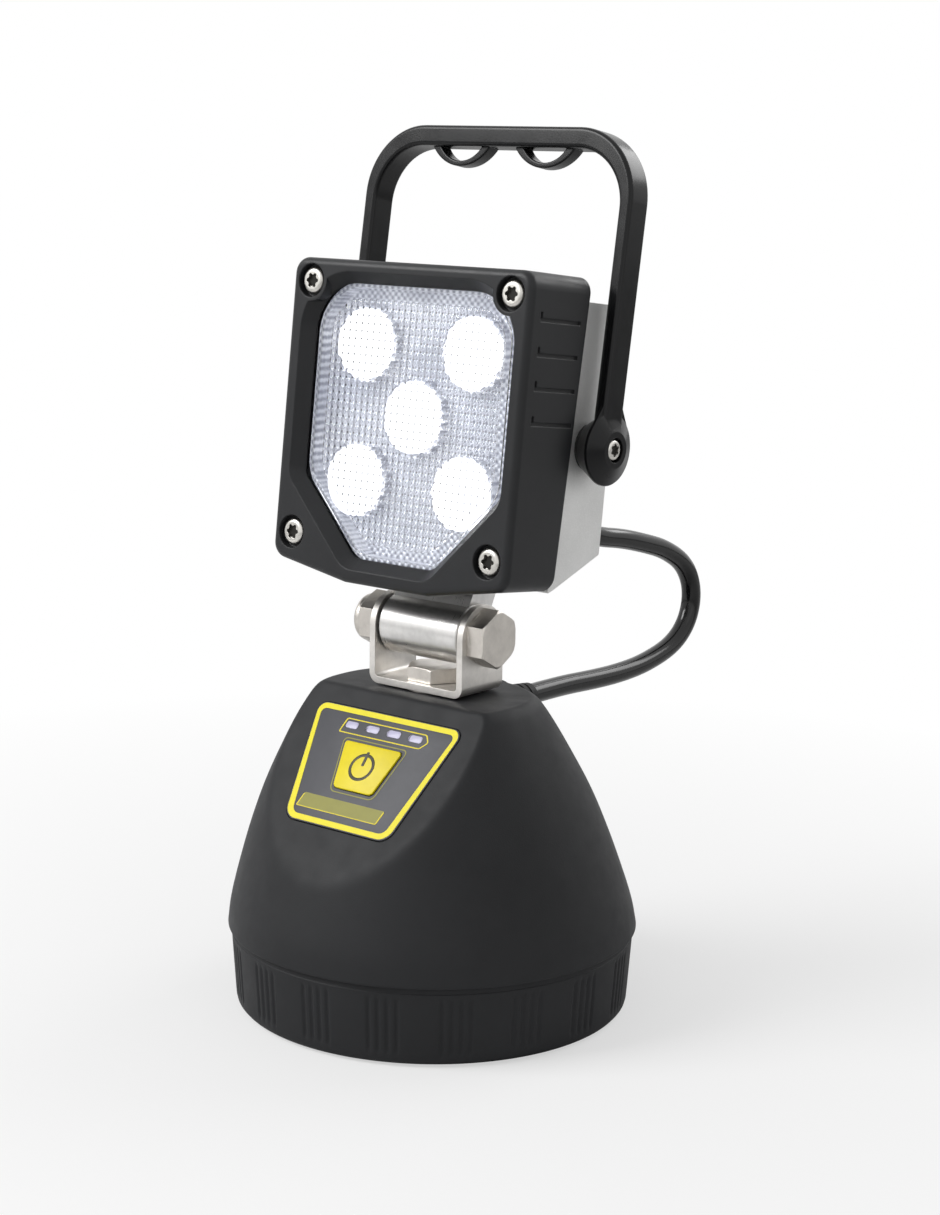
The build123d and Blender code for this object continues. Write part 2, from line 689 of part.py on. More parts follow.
def optics():
    """Five moulded collimators, one in front of each emitter."""
    cup = Pos(0, 0, 5.5) * Cone(4.6, OPTIC_R, 9.0) + rod(OPTIC_R, 10, 11.2)
    cup -= rod(3.0, 0, 3.4)
    return Compound([on_head(Pos(x, -7.6, z) * (Rot(90, 0, 0) * cup)) for x, z in optic_places()])


def reflector_plate():
    """The bright plate that fills the space round the optics."""
    plate = front_sketch(window_outline(0.6), -15.0, -13.6)
    for place in corner_places():
        plate -= rod(7.2, -20, -10, "Y", at=place)
    for place in optic_places():
        plate -= rod(OPTIC_R - 1.2, -20, -10, "Y", at=place)
    for x in (-30, 30):
        plate += rod(2.4, -13.7, -6.4, "Y", at=(x, HEAD_MID_Z))
    return on_head(plate)


def led_board():
    board = front_sketch(Pos(0, HEAD_MID_Z) * RectangleRounded(68, 62, 4), -6.4, -4.8)
    return on_head(board)


def led_emitters():
    chips = []
    for x, z in optic_places():
        chip = block((x - 1.75, x + 1.75), (-7.1, -6.4), (z - 1.75, z + 1.75))
        chips.append(on_head(chip + rod(1.3, -7.9, -7.1, "Y", at=(x, z))))
    return Compound(chips)


def thermal_pad():
    return on_head(front_sketch(Pos(0, HEAD_MID_Z) * Rectangle(66, 60), -4.8, CAVITY_FLOOR))


def driver_board():
    board = block((-26, 26), (-6.6, -5.0), (22.0, 33.0))
    for x, width, tall in ((-16, 9, 5.0), (2, 7, 4.0), (16, 8, 3.0)):
        board += block((x - width / 2, x + width / 2), (-6.6 - tall, -6.6), (24.0, 31.0))
    posts = block((-22, -19), (-5.0, CAVITY_FLOOR), (24, 28)) + block((19, 22), (-5.0, CAVITY_FLOOR), (24, 28))
    return on_head(board + posts)


def head_cable_gland():
    return on_head(Pos(0, SHELL_BACK, GLAND_Z) * (Rot(-90, 0, 0) * strain_relief(GLAND_LEN)))


# ---------------------------------------------------------------- handle
def handle_screws():
    """Shoulder screws: the handle turns on the plain part, and the end holds the housing."""
    screw = button_screw(3.4, 2.3, HINGE_R, SCREW_TOP_X - 2.3 - 38.2, 2.0)
    right = on_head(Pos(SCREW_TOP_X, HANDLE_Y, HANDLE_Z) * (Rot(0, 90, 0) * screw))
    return Compound([right, mirror(right, Plane.YZ)])


def handle_washers():
    place = (HANDLE_Y, HANDLE_Z)
    right = on_head(rod(7.0, 44.0, 44.7, "X", at=place) - rod(HINGE_R, 40, 50, "X", at=place))
    return Compound([right, mirror(right, Plane.YZ)])


def half_moon(x, sag, half):
    """A half-moon hanging under the top bar, as an area between a chord and its arc."""
    low = HANDLE_LEN - 6.4
    arc = ThreePointArc((x - half, low), (x, low - sag), (x + half, low))
    return make_face([arc, Line((x + half, low), (x - half, low))])


def handle():
    """The carrying handle: a flat strap with two finger loops and a boss at each end."""
    height = HANDLE_LEN
    outer = Pos(0, height / 2) * Rectangle(2 * HANDLE_HALF_W, height)
    outer = fillet(outer.vertices().group_by(Axis.Y)[-1], HANDLE_CORNER_R)
    top_t = 6.4
    inner = Pos(0, (height - top_t) / 2) * Rectangle(2 * (HANDLE_HALF_W - HANDLE_T), height - top_t)
    inner = fillet(inner.vertices().group_by(Axis.Y)[-1], HANDLE_CORNER_R - HANDLE_T)
    strap = extrude(Plane.XZ * (outer - inner), HANDLE_D / 2, both=True)
    strap = chamfer(strap.edges().filter_by(GeomType.CIRCLE), 0.9)
    for side in (-1, 1):
        x = side * LOOP_X
        loop = half_moon(x, LOOP_SAG, LOOP_HALF) - half_moon(x, LOOP_SAG - LOOP_T, LOOP_HALF - LOOP_FOOT)
        strap += extrude(Plane.XZ * loop, LOOP_D / 2, both=True)
    # the bosses: a thin rim that meets the strap, a cone inwards, and a cone round the screw
    rim = make_hull((Circle(BOSS_R) + Pos(0, 12.5) * Circle(4.2)).edges())
    boss = Pos(50.6, 0, 0) * extrude(Plane.YZ * rim, 1.0)
    boss += Pos(47.775, 0, 0) * (Rot(0, 90, 0) * Cone(7.6, BOSS_R, 5.65))
    boss += Pos(52.9, 0, 0) * (Rot(0, 90, 0) * Cone(BOSS_R, 5.4, 2.6))
    bore = rod(3.75, 51.6, 60, "X") + rod(HINGE_R + RUNNING_GAP, 40, 60, "X")
    for part in (boss, mirror(boss, Plane.YZ)):
        strap += part
    strap -= bore
    strap -= mirror(bore, Plane.YZ)
    return HANDLE * strap


# ---------------------------------------------------------------- cable
def cable_points():
    """The whole route, from the mouth of the base's gland to the mouth of the head's."""
    start = (0, GLAND_SEAT_Y + GLAND_LEN, 90)
    outside = (HEAD * Pos(0, SHELL_BACK + GLAND_LEN + 14, GLAND_Z)).position
    mouth = (HEAD * Pos(0, SHELL_BACK + GLAND_LEN, GLAND_Z)).position
    return [Vector(*p) for p in [start] + CABLE_ROUTE] + [outside, mouth]


def cable_radii():
    """The largest tangent arc that each corner's two runs allow."""
    points = cable_points()
    radii = []
    for before, here, after in zip(points, points[1:], points[2:]):
        turn = math.radians((here - before).get_angle(after - here))
        shorter = min((here - before).length, (after - here).length)
        radii.append(0.45 * shorter / math.tan(turn / 2))
    return radii


def cable_tube(name, points, radii):
    """A round tube along straight runs joined by tangent arcs."""
    path = FilletPolyline(*points, radius=radii)
    tube = sweep(Plane(path @ 0, z_dir=path % 0) * Circle(CABLE_D / 2), path)
    section = math.pi * CABLE_D ** 2 / 4
    print(name, "length %.1f" % path.length, "radii", [round(r, 1) for r in radii],
          "volume ratio %.4f" % (tube.volume / (section * path.length)))
    return tube


def cable_lower():
    """From the base's gland to the middle of the run behind the loop."""
    points = cable_points()
    meeting = (points[CABLE_SPLIT] + points[CABLE_SPLIT + 1]) / 2
    return cable_tube("cable_lower", points[:CABLE_SPLIT + 1] + [meeting], cable_radii()[:CABLE_SPLIT])


def cable_upper():
    """From the middle of the run behind the loop to the head's gland."""
    points = cable_points()
    meeting = (points[CABLE_SPLIT] + points[CABLE_SPLIT + 1]) / 2
    return cable_tube("cable_upper", [meeting] + points[CABLE_SPLIT + 1:], cable_radii()[CABLE_SPLIT:])


# ---------------------------------------------------------------- write every sub-part
SUB_PARTS = [
    base_housing, skirt_ring, bottom_cover, cover_screws, magnet_cup, ring_magnet, cup_screws,
    rubber_foot_pad, battery_cells, battery_tray, battery_cap, control_board, board_screws,
    tactile_switch, indicator_leds, led_windows, panel_overlay, dc_socket, dc_socket_nut,
    base_cable_gland, support_plate, swivel_bolt, swivel_nut, swivel_washer,
    dust_plug, power_button, switch_plunger,
    u_bracket, pivot_bolt, pivot_nut, friction_washers,
    tilt_knuckle, knuckle_screws, heat_sink_housing, front_bezel, bezel_screws, lens,
    lens_gasket, reflector_plate, optics, led_board, led_emitters, thermal_pad, driver_board,
    head_cable_gland, handle_screws, handle_washers, handle,
    cable_lower, cable_upper,
]

if __name__ == "__main__":
    for make in SUB_PARTS:
        export_step(make(), f"parts/{make.__name__}.step")
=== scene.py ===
# %% [markdown]
# # A cordless LED work light
# The lamp is a heavy round base with a battery and a magnet inside, a steel bracket that
# swivels on it, a square lamp head that tilts in the bracket, and a carrying handle.
# Its engineering model is loaded first. Some of its pieces only need a good finish. The ones
# that are seen most are modelled again here, with softer edges and finer detail.

# %% Load the engineering model
import bpy
import bmesh
import json
import math
from mathutils import Matrix, Vector
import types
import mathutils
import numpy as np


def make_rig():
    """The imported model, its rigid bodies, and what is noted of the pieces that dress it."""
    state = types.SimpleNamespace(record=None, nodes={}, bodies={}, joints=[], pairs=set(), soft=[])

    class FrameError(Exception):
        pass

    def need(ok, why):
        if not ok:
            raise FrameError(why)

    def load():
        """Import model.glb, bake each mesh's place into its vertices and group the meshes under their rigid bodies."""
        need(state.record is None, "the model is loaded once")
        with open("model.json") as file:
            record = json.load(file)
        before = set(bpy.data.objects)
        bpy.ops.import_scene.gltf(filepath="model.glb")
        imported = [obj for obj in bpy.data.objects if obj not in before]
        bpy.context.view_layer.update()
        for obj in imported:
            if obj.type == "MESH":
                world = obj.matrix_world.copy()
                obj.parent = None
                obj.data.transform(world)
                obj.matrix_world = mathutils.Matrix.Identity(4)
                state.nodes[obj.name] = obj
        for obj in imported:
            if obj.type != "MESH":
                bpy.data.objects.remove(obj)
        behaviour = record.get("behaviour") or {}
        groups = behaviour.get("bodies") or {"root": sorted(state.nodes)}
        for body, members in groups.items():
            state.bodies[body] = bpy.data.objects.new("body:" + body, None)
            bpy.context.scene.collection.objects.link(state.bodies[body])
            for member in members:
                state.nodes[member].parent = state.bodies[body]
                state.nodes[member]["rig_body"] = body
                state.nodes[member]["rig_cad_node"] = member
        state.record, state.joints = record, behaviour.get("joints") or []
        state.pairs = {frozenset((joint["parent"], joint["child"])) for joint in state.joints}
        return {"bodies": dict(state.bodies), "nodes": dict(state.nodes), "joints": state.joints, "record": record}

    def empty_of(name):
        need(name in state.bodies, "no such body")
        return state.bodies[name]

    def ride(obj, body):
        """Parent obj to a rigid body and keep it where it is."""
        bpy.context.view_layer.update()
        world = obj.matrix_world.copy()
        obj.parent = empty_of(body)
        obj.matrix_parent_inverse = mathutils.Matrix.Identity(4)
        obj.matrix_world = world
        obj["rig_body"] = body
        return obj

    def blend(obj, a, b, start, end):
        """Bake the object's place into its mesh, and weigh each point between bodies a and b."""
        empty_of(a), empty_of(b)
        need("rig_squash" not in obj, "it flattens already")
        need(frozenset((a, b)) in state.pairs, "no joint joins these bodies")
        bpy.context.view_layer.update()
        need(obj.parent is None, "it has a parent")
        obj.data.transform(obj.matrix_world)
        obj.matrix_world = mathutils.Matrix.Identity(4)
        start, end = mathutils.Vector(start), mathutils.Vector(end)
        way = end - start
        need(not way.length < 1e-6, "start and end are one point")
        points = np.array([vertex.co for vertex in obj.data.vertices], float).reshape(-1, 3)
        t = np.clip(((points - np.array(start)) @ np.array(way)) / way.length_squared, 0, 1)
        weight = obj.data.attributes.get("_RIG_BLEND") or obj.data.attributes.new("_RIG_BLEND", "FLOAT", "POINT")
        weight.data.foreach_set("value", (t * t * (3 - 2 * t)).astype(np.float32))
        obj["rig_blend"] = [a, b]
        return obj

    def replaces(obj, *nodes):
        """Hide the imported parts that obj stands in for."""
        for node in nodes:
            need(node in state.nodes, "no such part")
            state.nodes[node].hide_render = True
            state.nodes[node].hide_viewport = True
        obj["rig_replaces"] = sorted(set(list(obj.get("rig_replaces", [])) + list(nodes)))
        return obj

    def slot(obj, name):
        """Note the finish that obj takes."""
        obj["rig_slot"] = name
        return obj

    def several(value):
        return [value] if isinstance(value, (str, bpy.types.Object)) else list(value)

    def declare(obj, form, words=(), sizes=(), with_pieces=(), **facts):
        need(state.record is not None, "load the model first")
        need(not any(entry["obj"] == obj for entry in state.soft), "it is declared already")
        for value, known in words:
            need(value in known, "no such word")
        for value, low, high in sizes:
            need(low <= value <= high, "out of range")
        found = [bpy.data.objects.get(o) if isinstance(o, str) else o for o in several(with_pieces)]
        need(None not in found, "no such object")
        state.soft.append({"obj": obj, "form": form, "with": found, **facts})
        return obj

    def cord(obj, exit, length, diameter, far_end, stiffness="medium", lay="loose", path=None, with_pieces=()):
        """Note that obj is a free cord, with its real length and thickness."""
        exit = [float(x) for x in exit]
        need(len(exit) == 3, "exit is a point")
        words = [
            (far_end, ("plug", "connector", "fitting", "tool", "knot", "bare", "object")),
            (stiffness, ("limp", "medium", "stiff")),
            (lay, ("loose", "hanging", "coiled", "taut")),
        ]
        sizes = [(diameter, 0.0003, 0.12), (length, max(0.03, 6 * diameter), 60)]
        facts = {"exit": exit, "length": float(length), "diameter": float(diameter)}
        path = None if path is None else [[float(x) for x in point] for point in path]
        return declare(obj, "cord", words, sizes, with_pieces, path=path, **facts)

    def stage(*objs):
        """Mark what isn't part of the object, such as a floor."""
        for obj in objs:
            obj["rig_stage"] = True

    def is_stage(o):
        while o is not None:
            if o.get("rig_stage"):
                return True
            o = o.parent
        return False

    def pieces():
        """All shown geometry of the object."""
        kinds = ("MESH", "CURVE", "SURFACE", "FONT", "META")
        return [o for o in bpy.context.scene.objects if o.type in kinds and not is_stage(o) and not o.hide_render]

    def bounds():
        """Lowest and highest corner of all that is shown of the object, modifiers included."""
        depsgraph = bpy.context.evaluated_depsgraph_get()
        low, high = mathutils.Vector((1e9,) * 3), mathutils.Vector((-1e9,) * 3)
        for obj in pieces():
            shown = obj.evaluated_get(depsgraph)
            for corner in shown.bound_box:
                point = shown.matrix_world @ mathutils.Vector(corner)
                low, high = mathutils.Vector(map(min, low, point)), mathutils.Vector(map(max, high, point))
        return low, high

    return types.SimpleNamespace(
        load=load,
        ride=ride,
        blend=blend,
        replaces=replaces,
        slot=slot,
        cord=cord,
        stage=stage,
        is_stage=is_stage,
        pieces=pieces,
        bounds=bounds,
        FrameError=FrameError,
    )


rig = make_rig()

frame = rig.load()
cad_low, cad_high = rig.bounds()
MM = 0.001
print("bodies:", ", ".join(frame["bodies"]))
print("size of the engineering model, mm:", [round(x / MM, 1) for x in cad_high - cad_low])

# %% [markdown]
# ## Where things are
# Three frames are enough for the whole lamp. The facet is the sloping front of the base
# that carries the switch panel. The head is leant back on the bracket's pivot bolt. The
# handle turns on two screws in the sides of the head. Each is a matrix that takes a point
# from the part's own upright frame to its place on the lamp.

# %% Frames of the facet, the head and the handle
PIVOT_Z = 119.8 * MM
HEAD_LEAN = math.radians(6.6)
HANDLE_Y, HANDLE_Z = 10.5 * MM, 61.0 * MM
HANDLE_LEAN = math.radians(2.5)
FACET_Y, PLATFORM_Z = -16.6 * MM, 101.0 * MM
FACET_SLOPE = math.radians(50)

head_frame = Matrix.Translation((0, 0, PIVOT_Z)) @ Matrix.Rotation(-HEAD_LEAN, 4, "X")
handle_frame = head_frame @ Matrix.Translation((0, HANDLE_Y, HANDLE_Z))
handle_frame = handle_frame @ Matrix.Rotation(-HANDLE_LEAN, 4, "X")
# on the facet: X to the right, Y up the slope, Z out of the surface
facet_frame = Matrix.Translation((0, FACET_Y, PLATFORM_Z)) @ Matrix.Rotation(FACET_SLOPE, 4, "X")
facet_normal = facet_frame.to_3x3() @ Vector((0, 0, 1))
print("the facet faces", [round(x, 3) for x in facet_normal])

# %% [markdown]
# ## Camera, floor and light
# A long lens keeps the square head nearly square. The floor and the world look white to the
# camera, and give the object only a plain soft light, so that each colour shows as it is.
# Two broad soft lamps and one narrow one give the metal something to reflect.

# %% Camera
AZIMUTH, ELEVATION, ROLL = math.radians(38.84), math.radians(11.457), math.radians(0.89)
DISTANCE, AIM_Z, SIDESTEP = 0.72733, 0.12663, 0.01045
LONG_SIDE, FOCAL = 1215, 2338.23

back = Vector((
    math.sin(AZIMUTH) * math.cos(ELEVATION),
    -math.cos(AZIMUTH) * math.cos(ELEVATION),
    math.sin(ELEVATION),
))
level = (-back).cross(Vector((0, 0, 1))).normalized()
upright = level.cross(-back)
right = level * math.cos(ROLL) + upright * math.sin(ROLL)
above = upright * math.cos(ROLL) - level * math.sin(ROLL)

bpy.ops.object.camera_add()
camera = bpy.context.object
camera.name = "camera"
camera.data.sensor_width = 36
camera.data.lens = FOCAL / LONG_SIDE * 36
camera.data.clip_start, camera.data.clip_end = 0.01, 50
turn = Matrix((right, above, back)).transposed().to_4x4()
place = Vector((0, 0, AIM_Z)) + level * SIDESTEP + back * DISTANCE
camera.matrix_world = Matrix.Translation(place) @ turn
bpy.context.scene.camera = camera
print("lens, mm:", round(camera.data.lens, 1))

# %% Shader maths as expressions
def operation(kind):
    """A method that adds the maths node of one kind and gives its result."""
    def method(self, *others):
        node = self.tree.nodes.new("ShaderNodeMath")
        node.operation = kind
        for place, other in enumerate((self, *others)):
            plug(self.tree, other, node.inputs[place])
        return Value(self.tree, node.outputs[0])
    return method


class Value:
    """A socket that can be used in sums: each operator adds the node that works it out."""

    def __init__(self, tree, socket):
        self.tree, self.socket = tree, socket

    __add__, __sub__ = operation("ADD"), operation("SUBTRACT")
    __mul__, __truediv__ = operation("MULTIPLY"), operation("DIVIDE")
    __pow__, wave = operation("POWER"), operation("SINE")
    least, most = operation("MINIMUM"), operation("MAXIMUM")

    def step(self, low, high):
        """0 below low, 1 above high, and a straight ramp between them."""
        return ((self - low) / (high - low)).most(0.0).least(1.0)


def plug(tree, what, socket):
    """Sets a socket to a number or colour, or links it to a Value."""
    if isinstance(what, Value):
        tree.links.new(what.socket, socket)
    else:
        socket.default_value = what


class Finish:
    """A material under construction: its tree, its shader and the object's own coordinates."""

    def __init__(self, name, **constants):
        self.material = bpy.data.materials.new(name)
        self.material.use_nodes = True
        self.tree = self.material.node_tree
        self.shader = self.tree.nodes["Principled BSDF"]
        for socket, number in constants.items():
            self.shader.inputs[socket.replace("_", " ")].default_value = number

    def node(self, kind, settings=None, out=0, **sockets):
        """Any node: its settings first, then the values or links of its sockets."""
        made = self.tree.nodes.new(kind)
        for name, setting in (settings or {}).items():
            setattr(made, name, setting)
        for name, what in sockets.items():
            plug(self.tree, what, made.inputs[name.replace("_", " ")])
        return Value(self.tree, made.outputs[out])

    def place(self):
        return self.node("ShaderNodeTexCoord", out="Object")

    def parts(self, vector):
        """A vector's X, Y and Z as three Values."""
        split = self.node("ShaderNodeSeparateXYZ", Vector=vector)
        return [Value(self.tree, split.socket.node.outputs[i]) for i in range(3)]

    def stretch(self, vector, scale):
        return self.node("ShaderNodeMapping", Vector=vector, Scale=scale)

    def noise(self, scale, detail=2.0, roughness=0.5, vector=None):
        """Noise in the object's own metres, from 0 to 1."""
        where = self.place() if vector is None else vector
        return self.node("ShaderNodeTexNoise", Vector=where, Scale=scale, Detail=detail,
                         Roughness=roughness)

    def blend(self, mask, one, other):
        """one where the mask is 0, other where it is 1: colours, RGB."""
        node = self.tree.nodes.new("ShaderNodeMix")
        node.data_type = "RGBA"
        plug(self.tree, mask, node.inputs["Factor"])
        plug(self.tree, one if isinstance(one, Value) else (*one, 1), node.inputs[6])
        plug(self.tree, other if isinstance(other, Value) else (*other, 1), node.inputs[7])
        return Value(self.tree, node.outputs[2])

    def feed(self, socket, value):
        self.tree.links.new(value.socket, self.shader.inputs[socket])

    def bump(self, height, distance, edge=0.0):
        """Height, in the unit of distance, and an edge rounded to a radius in metres."""
        extra = {}
        if edge:
            extra["Normal"] = self.node("ShaderNodeBevel", {"samples": 6}, Radius=edge)
        self.feed("Normal", self.node("ShaderNodeBump", Height=height, Distance=distance, **extra))


# %% Floor, world and lamps
bpy.ops.mesh.primitive_plane_add(size=12, location=(0, 0, 0))
floor = bpy.context.object
floor.name = "studio_floor"
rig.stage(floor)
white = Finish("studio_white", Roughness=0.9, Specular_IOR_Level=0.1)
white.shader.inputs["Base Color"].default_value = (0.86, 0.86, 0.86, 1)
across, along, _ = white.parts(white.place())
away = (across * across + along * along) ** 0.5
faded = away.step(0.05, 0.42) * 0.45 + 0.55
camera_only = white.node("ShaderNodeLightPath", out="Is Camera Ray")
glow = white.node("ShaderNodeEmission", Color=(1, 1, 1, 1), Strength=1.0)
mixed = white.node("ShaderNodeMixShader", Fac=faded * camera_only)
white.tree.links.new(white.shader.outputs[0], mixed.socket.node.inputs[1])
white.tree.links.new(glow.socket, mixed.socket.node.inputs[2])
white.tree.links.new(mixed.socket, white.tree.nodes["Material Output"].inputs["Surface"])
floor.data.materials.append(white.material)

world = bpy.data.worlds.new("studio")
bpy.context.scene.world = world
world.use_nodes = True
sky = world.node_tree
backdrop = sky.nodes["Background"]
backdrop.inputs["Color"].default_value = (1, 1, 1, 1)
seen = sky.nodes.new("ShaderNodeLightPath")


def seen_by(name):
    return Value(sky, seen.outputs[name])


mirrored = seen_by("Is Glossy Ray").most(seen_by("Is Transmission Ray"))
plug(sky, seen_by("Is Camera Ray").most(mirrored).most(0.30), backdrop.inputs["Strength"])

LAMPS_AIM = Vector((0, 0, 0.12))


def soft_lamp(name, where, size, watts):
    bpy.ops.object.light_add(type="AREA", location=where)
    lamp = bpy.context.object
    lamp.name = name
    lamp.data.shape = "RECTANGLE"
    lamp.data.size, lamp.data.size_y = size
    lamp.data.energy = watts
    lamp.rotation_euler = (Vector(where) - LAMPS_AIM).to_track_quat("Z", "Y").to_euler()


soft_lamp("key_lamp", (-0.55, -0.75, 0.85), (0.6, 0.6), 10.5)
soft_lamp("fill_lamp", (1.0, -0.35, 0.6), (0.5, 0.8), 0.35)
soft_lamp("rim_lamp", (0.25, 0.9, 0.7), (0.8, 0.3), 3)

bpy.context.scene.view_settings.view_transform = "Standard"

# %% [markdown]
# ## The cable
# One short limp lead feeds the head from the battery. It leaves the back of the dome, makes
# a round loop behind the lamp and goes into the back of the head. Two joints lie between its
# ends, so it is made as two lengths that meet behind the loop, and each bends across one.

# %% Cable
CABLE_D, GLAND_LEN = 6.8 * MM, 14.5 * MM
# from the mouth of the base's gland to just outside the head's, in millimetres
lower_mouth = (0, 48.0, 90.0)
cable_route = [
    (0.0, 66.0, 90.0), (0.5, 82.0, 89.2), (1.1, 98.0, 89.0), (1.7, 113.0, 90.2),
    (2.1, 129.5, 94.2), (2.4, 138.2, 102.0), (2.5, 140.2, 112.8), (2.4, 134.6, 122.8),
    (2.1, 122.5, 129.5), (1.7, 110.0, 133.2), (1.2, 97.0, 136.4), (0.8, 84.0, 138.4),
    (0.4, 70.0, 143.0),
]
CABLE_SPLIT = 7
SHELL_BACK, HEAD_GLAND_Z, STRAIGHT_END = 22.5 * MM, 36.2 * MM, 14 * MM
upper_mouth = head_frame @ Vector((0, SHELL_BACK + GLAND_LEN, HEAD_GLAND_Z))
upper_outside = head_frame @ Vector((0, SHELL_BACK + GLAND_LEN + STRAIGHT_END, HEAD_GLAND_Z))
route = [Vector(p) * MM for p in [lower_mouth] + cable_route] + [upper_outside, upper_mouth]
meeting = (route[CABLE_SPLIT] + route[CABLE_SPLIT + 1]) / 2
print("the cable's two lengths meet at, mm:", [round(x / MM, 1) for x in meeting])


# %% Tube that follows a smooth line
def smooth_line(points, fineness=14):
    """The points along a NURBS line that has these control points."""
    curve = bpy.data.curves.new("route", "CURVE")
    curve.dimensions = "3D"
    spline = curve.splines.new("NURBS")
    spline.points.add(len(points) - 1)
    for slot, point in zip(spline.points, points):
        slot.co = (*point, 1)
    spline.order_u = 3
    spline.use_endpoint_u = True
    spline.resolution_u = fineness
    holder = bpy.data.objects.new("route", curve)
    bpy.context.collection.objects.link(holder)
    bpy.context.view_layer.update()
    line = bpy.data.meshes.new_from_object(holder)
    found = [v.co.copy() for v in line.vertices]
    bpy.data.objects.remove(holder)
    bpy.data.meshes.remove(line)
    return found


def length_of(line):
    return sum((b - a).length for a, b in zip(line, line[1:]))


def circle(sides):
    """Angles of places spread evenly round a circle."""
    return [2 * math.pi * k / sides for k in range(sides)]


def loft(name, rings):
    """A closed solid through rings of points, each joined to the next by quads."""
    mesh = bpy.data.meshes.new(name)
    shape = bmesh.new()
    rings = [[shape.verts.new(point) for point in ring] for ring in rings]
    sides = len(rings[0])
    for one, two in zip(rings, rings[1:]):
        for k in range(sides):
            shape.faces.new((one[k], one[(k + 1) % sides], two[(k + 1) % sides], two[k]))
    shape.faces.new(rings[0])
    shape.faces.new(rings[-1])
    bmesh.ops.recalc_face_normals(shape, faces=shape.faces)
    shape.to_mesh(mesh)
    shape.free()
    piece = bpy.data.objects.new(name, mesh)
    bpy.context.collection.objects.link(piece)
    return piece


def tube(name, line, radius, sides=32):
    """A closed round tube along a line; only the rims of its ends stay sharp."""
    across = Vector((1, 0, 0))
    rings = []
    for i, point in enumerate(line):
        ahead = (line[min(i + 1, len(line) - 1)] - line[max(i - 1, 0)]).normalized()
        across = (across - ahead * across.dot(ahead)).normalized()
        third = ahead.cross(across)
        rings.append([point + (across * math.cos(a) + third * math.sin(a)) * radius
                      for a in circle(sides)])
    piece = loft(name, rings)
    for face in piece.data.polygons:
        face.use_smooth = True
    piece.data.set_sharp_from_angle(angle=math.radians(40))
    return piece


whole_line = smooth_line(route)
near = min(range(len(whole_line)), key=lambda i: (whole_line[i] - meeting).length)
lower_line = whole_line[:near + 1]
upper_line = whole_line[near:]
lower_cable = tube("cable_lower_jacket", lower_line, CABLE_D / 2)
upper_cable = tube("cable_upper_jacket", upper_line, CABLE_D / 2)
print("cable lengths, mm:", [round(length_of(x) / MM, 1) for x in (lower_line, upper_line)])

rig.replaces(lower_cable, "cable_lower")
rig.replaces(upper_cable, "cable_upper")
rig.blend(lower_cable, "base", "bracket", start=route[0] + Vector((0, 3 * MM, 0)),
         end=route[CABLE_SPLIT - 1])
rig.blend(upper_cable, "bracket", "lamp_head", start=whole_line[near], end=upper_mouth)
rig.slot(lower_cable, "cable_jacket")
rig.slot(upper_cable, "cable_jacket")
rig.cord(lower_cable, exit=route[0], length=length_of(lower_line), diameter=CABLE_D,
        far_end="object", stiffness="limp", lay="loose", path=lower_line)
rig.cord(upper_cable, exit=upper_mouth, length=length_of(upper_line), diameter=CABLE_D,
        far_end="object", stiffness="limp", lay="loose", path=list(reversed(upper_line)))

# %% [markdown]
# ## Finishes
# Most of the lamp is black moulded plastic. It isn't one flat black: a mould leaves a fine
# grain, handling polishes it here and there, and its tone drifts slowly over the surface. So
# each plastic has a grain in its bump, a slow cloud in its colour and a patchy roughness. The
# metals get lines along the way they were brushed or turned.

# %% Plastics and rubbers
def moulded(name, colour, roughness, grain=2600.0, depth=0.03, edge=0.0, gloss=0.2):
    """Moulded plastic or rubber; depth and edge are in millimetres."""
    finish = Finish(name, Specular_IOR_Level=gloss)
    cloud = finish.noise(22.0, detail=3.0).step(0.35, 0.68)
    lighter = tuple(min(1.0, c * 1.25) for c in colour)
    finish.feed("Base Color", finish.blend(cloud, colour, lighter))
    rubbed = finish.noise(140.0, detail=4.0, roughness=0.6).step(0.3, 0.75)
    finish.feed("Roughness", rubbed * 0.10 + (roughness - 0.05))
    fine = finish.noise(grain)
    finish.bump(fine, depth * MM, edge=edge * MM)
    return finish.material


base_black = moulded("base_plastic", (0.019, 0.0195, 0.021), 0.56, edge=0.3)
bezel_black = moulded("bezel_plastic", (0.0175, 0.018, 0.0195), 0.38, edge=0.6, gloss=0.27)
handle_black = moulded("handle_plastic", (0.005, 0.0052, 0.0057), 0.24, grain=1900.0, depth=0.006,
                        edge=0.3, gloss=0.26)
rubber_black = moulded("gland_rubber", (0.016, 0.016, 0.017), 0.52, grain=1500.0, edge=0.2)
cable_black = moulded("cable_jacket", (0.003, 0.003, 0.0033), 0.17, grain=900.0, depth=0.002,
                       gloss=0.42)
inner_black = moulded("inner_plastic", (0.02, 0.02, 0.021), 0.6)
pad_black = moulded("pad_rubber", (0.02, 0.02, 0.02), 0.75, grain=1200.0, depth=0.08)


# %% Metals
def metal(name, colour, roughness, lines=(1, 1, 1), scale=1800.0, depth=0.012, edge=0.2):
    """Bare metal; lines stretches the marks left by brushing or turning."""
    finish = Finish(name, Metallic=1.0)
    where = finish.stretch(finish.place(), lines)
    marks = finish.noise(scale, detail=3.0, roughness=0.65, vector=where)
    stain = finish.noise(160.0, detail=4.0, roughness=0.6).step(0.38, 0.72)
    darker = tuple(c * 0.80 for c in colour)
    finish.feed("Base Color", finish.blend(stain, colour, darker))
    finish.feed("Roughness", (marks - 0.5) * 0.16 + stain * 0.08 + roughness)
    finish.bump(marks, depth * MM, edge=edge * MM)
    return finish.material


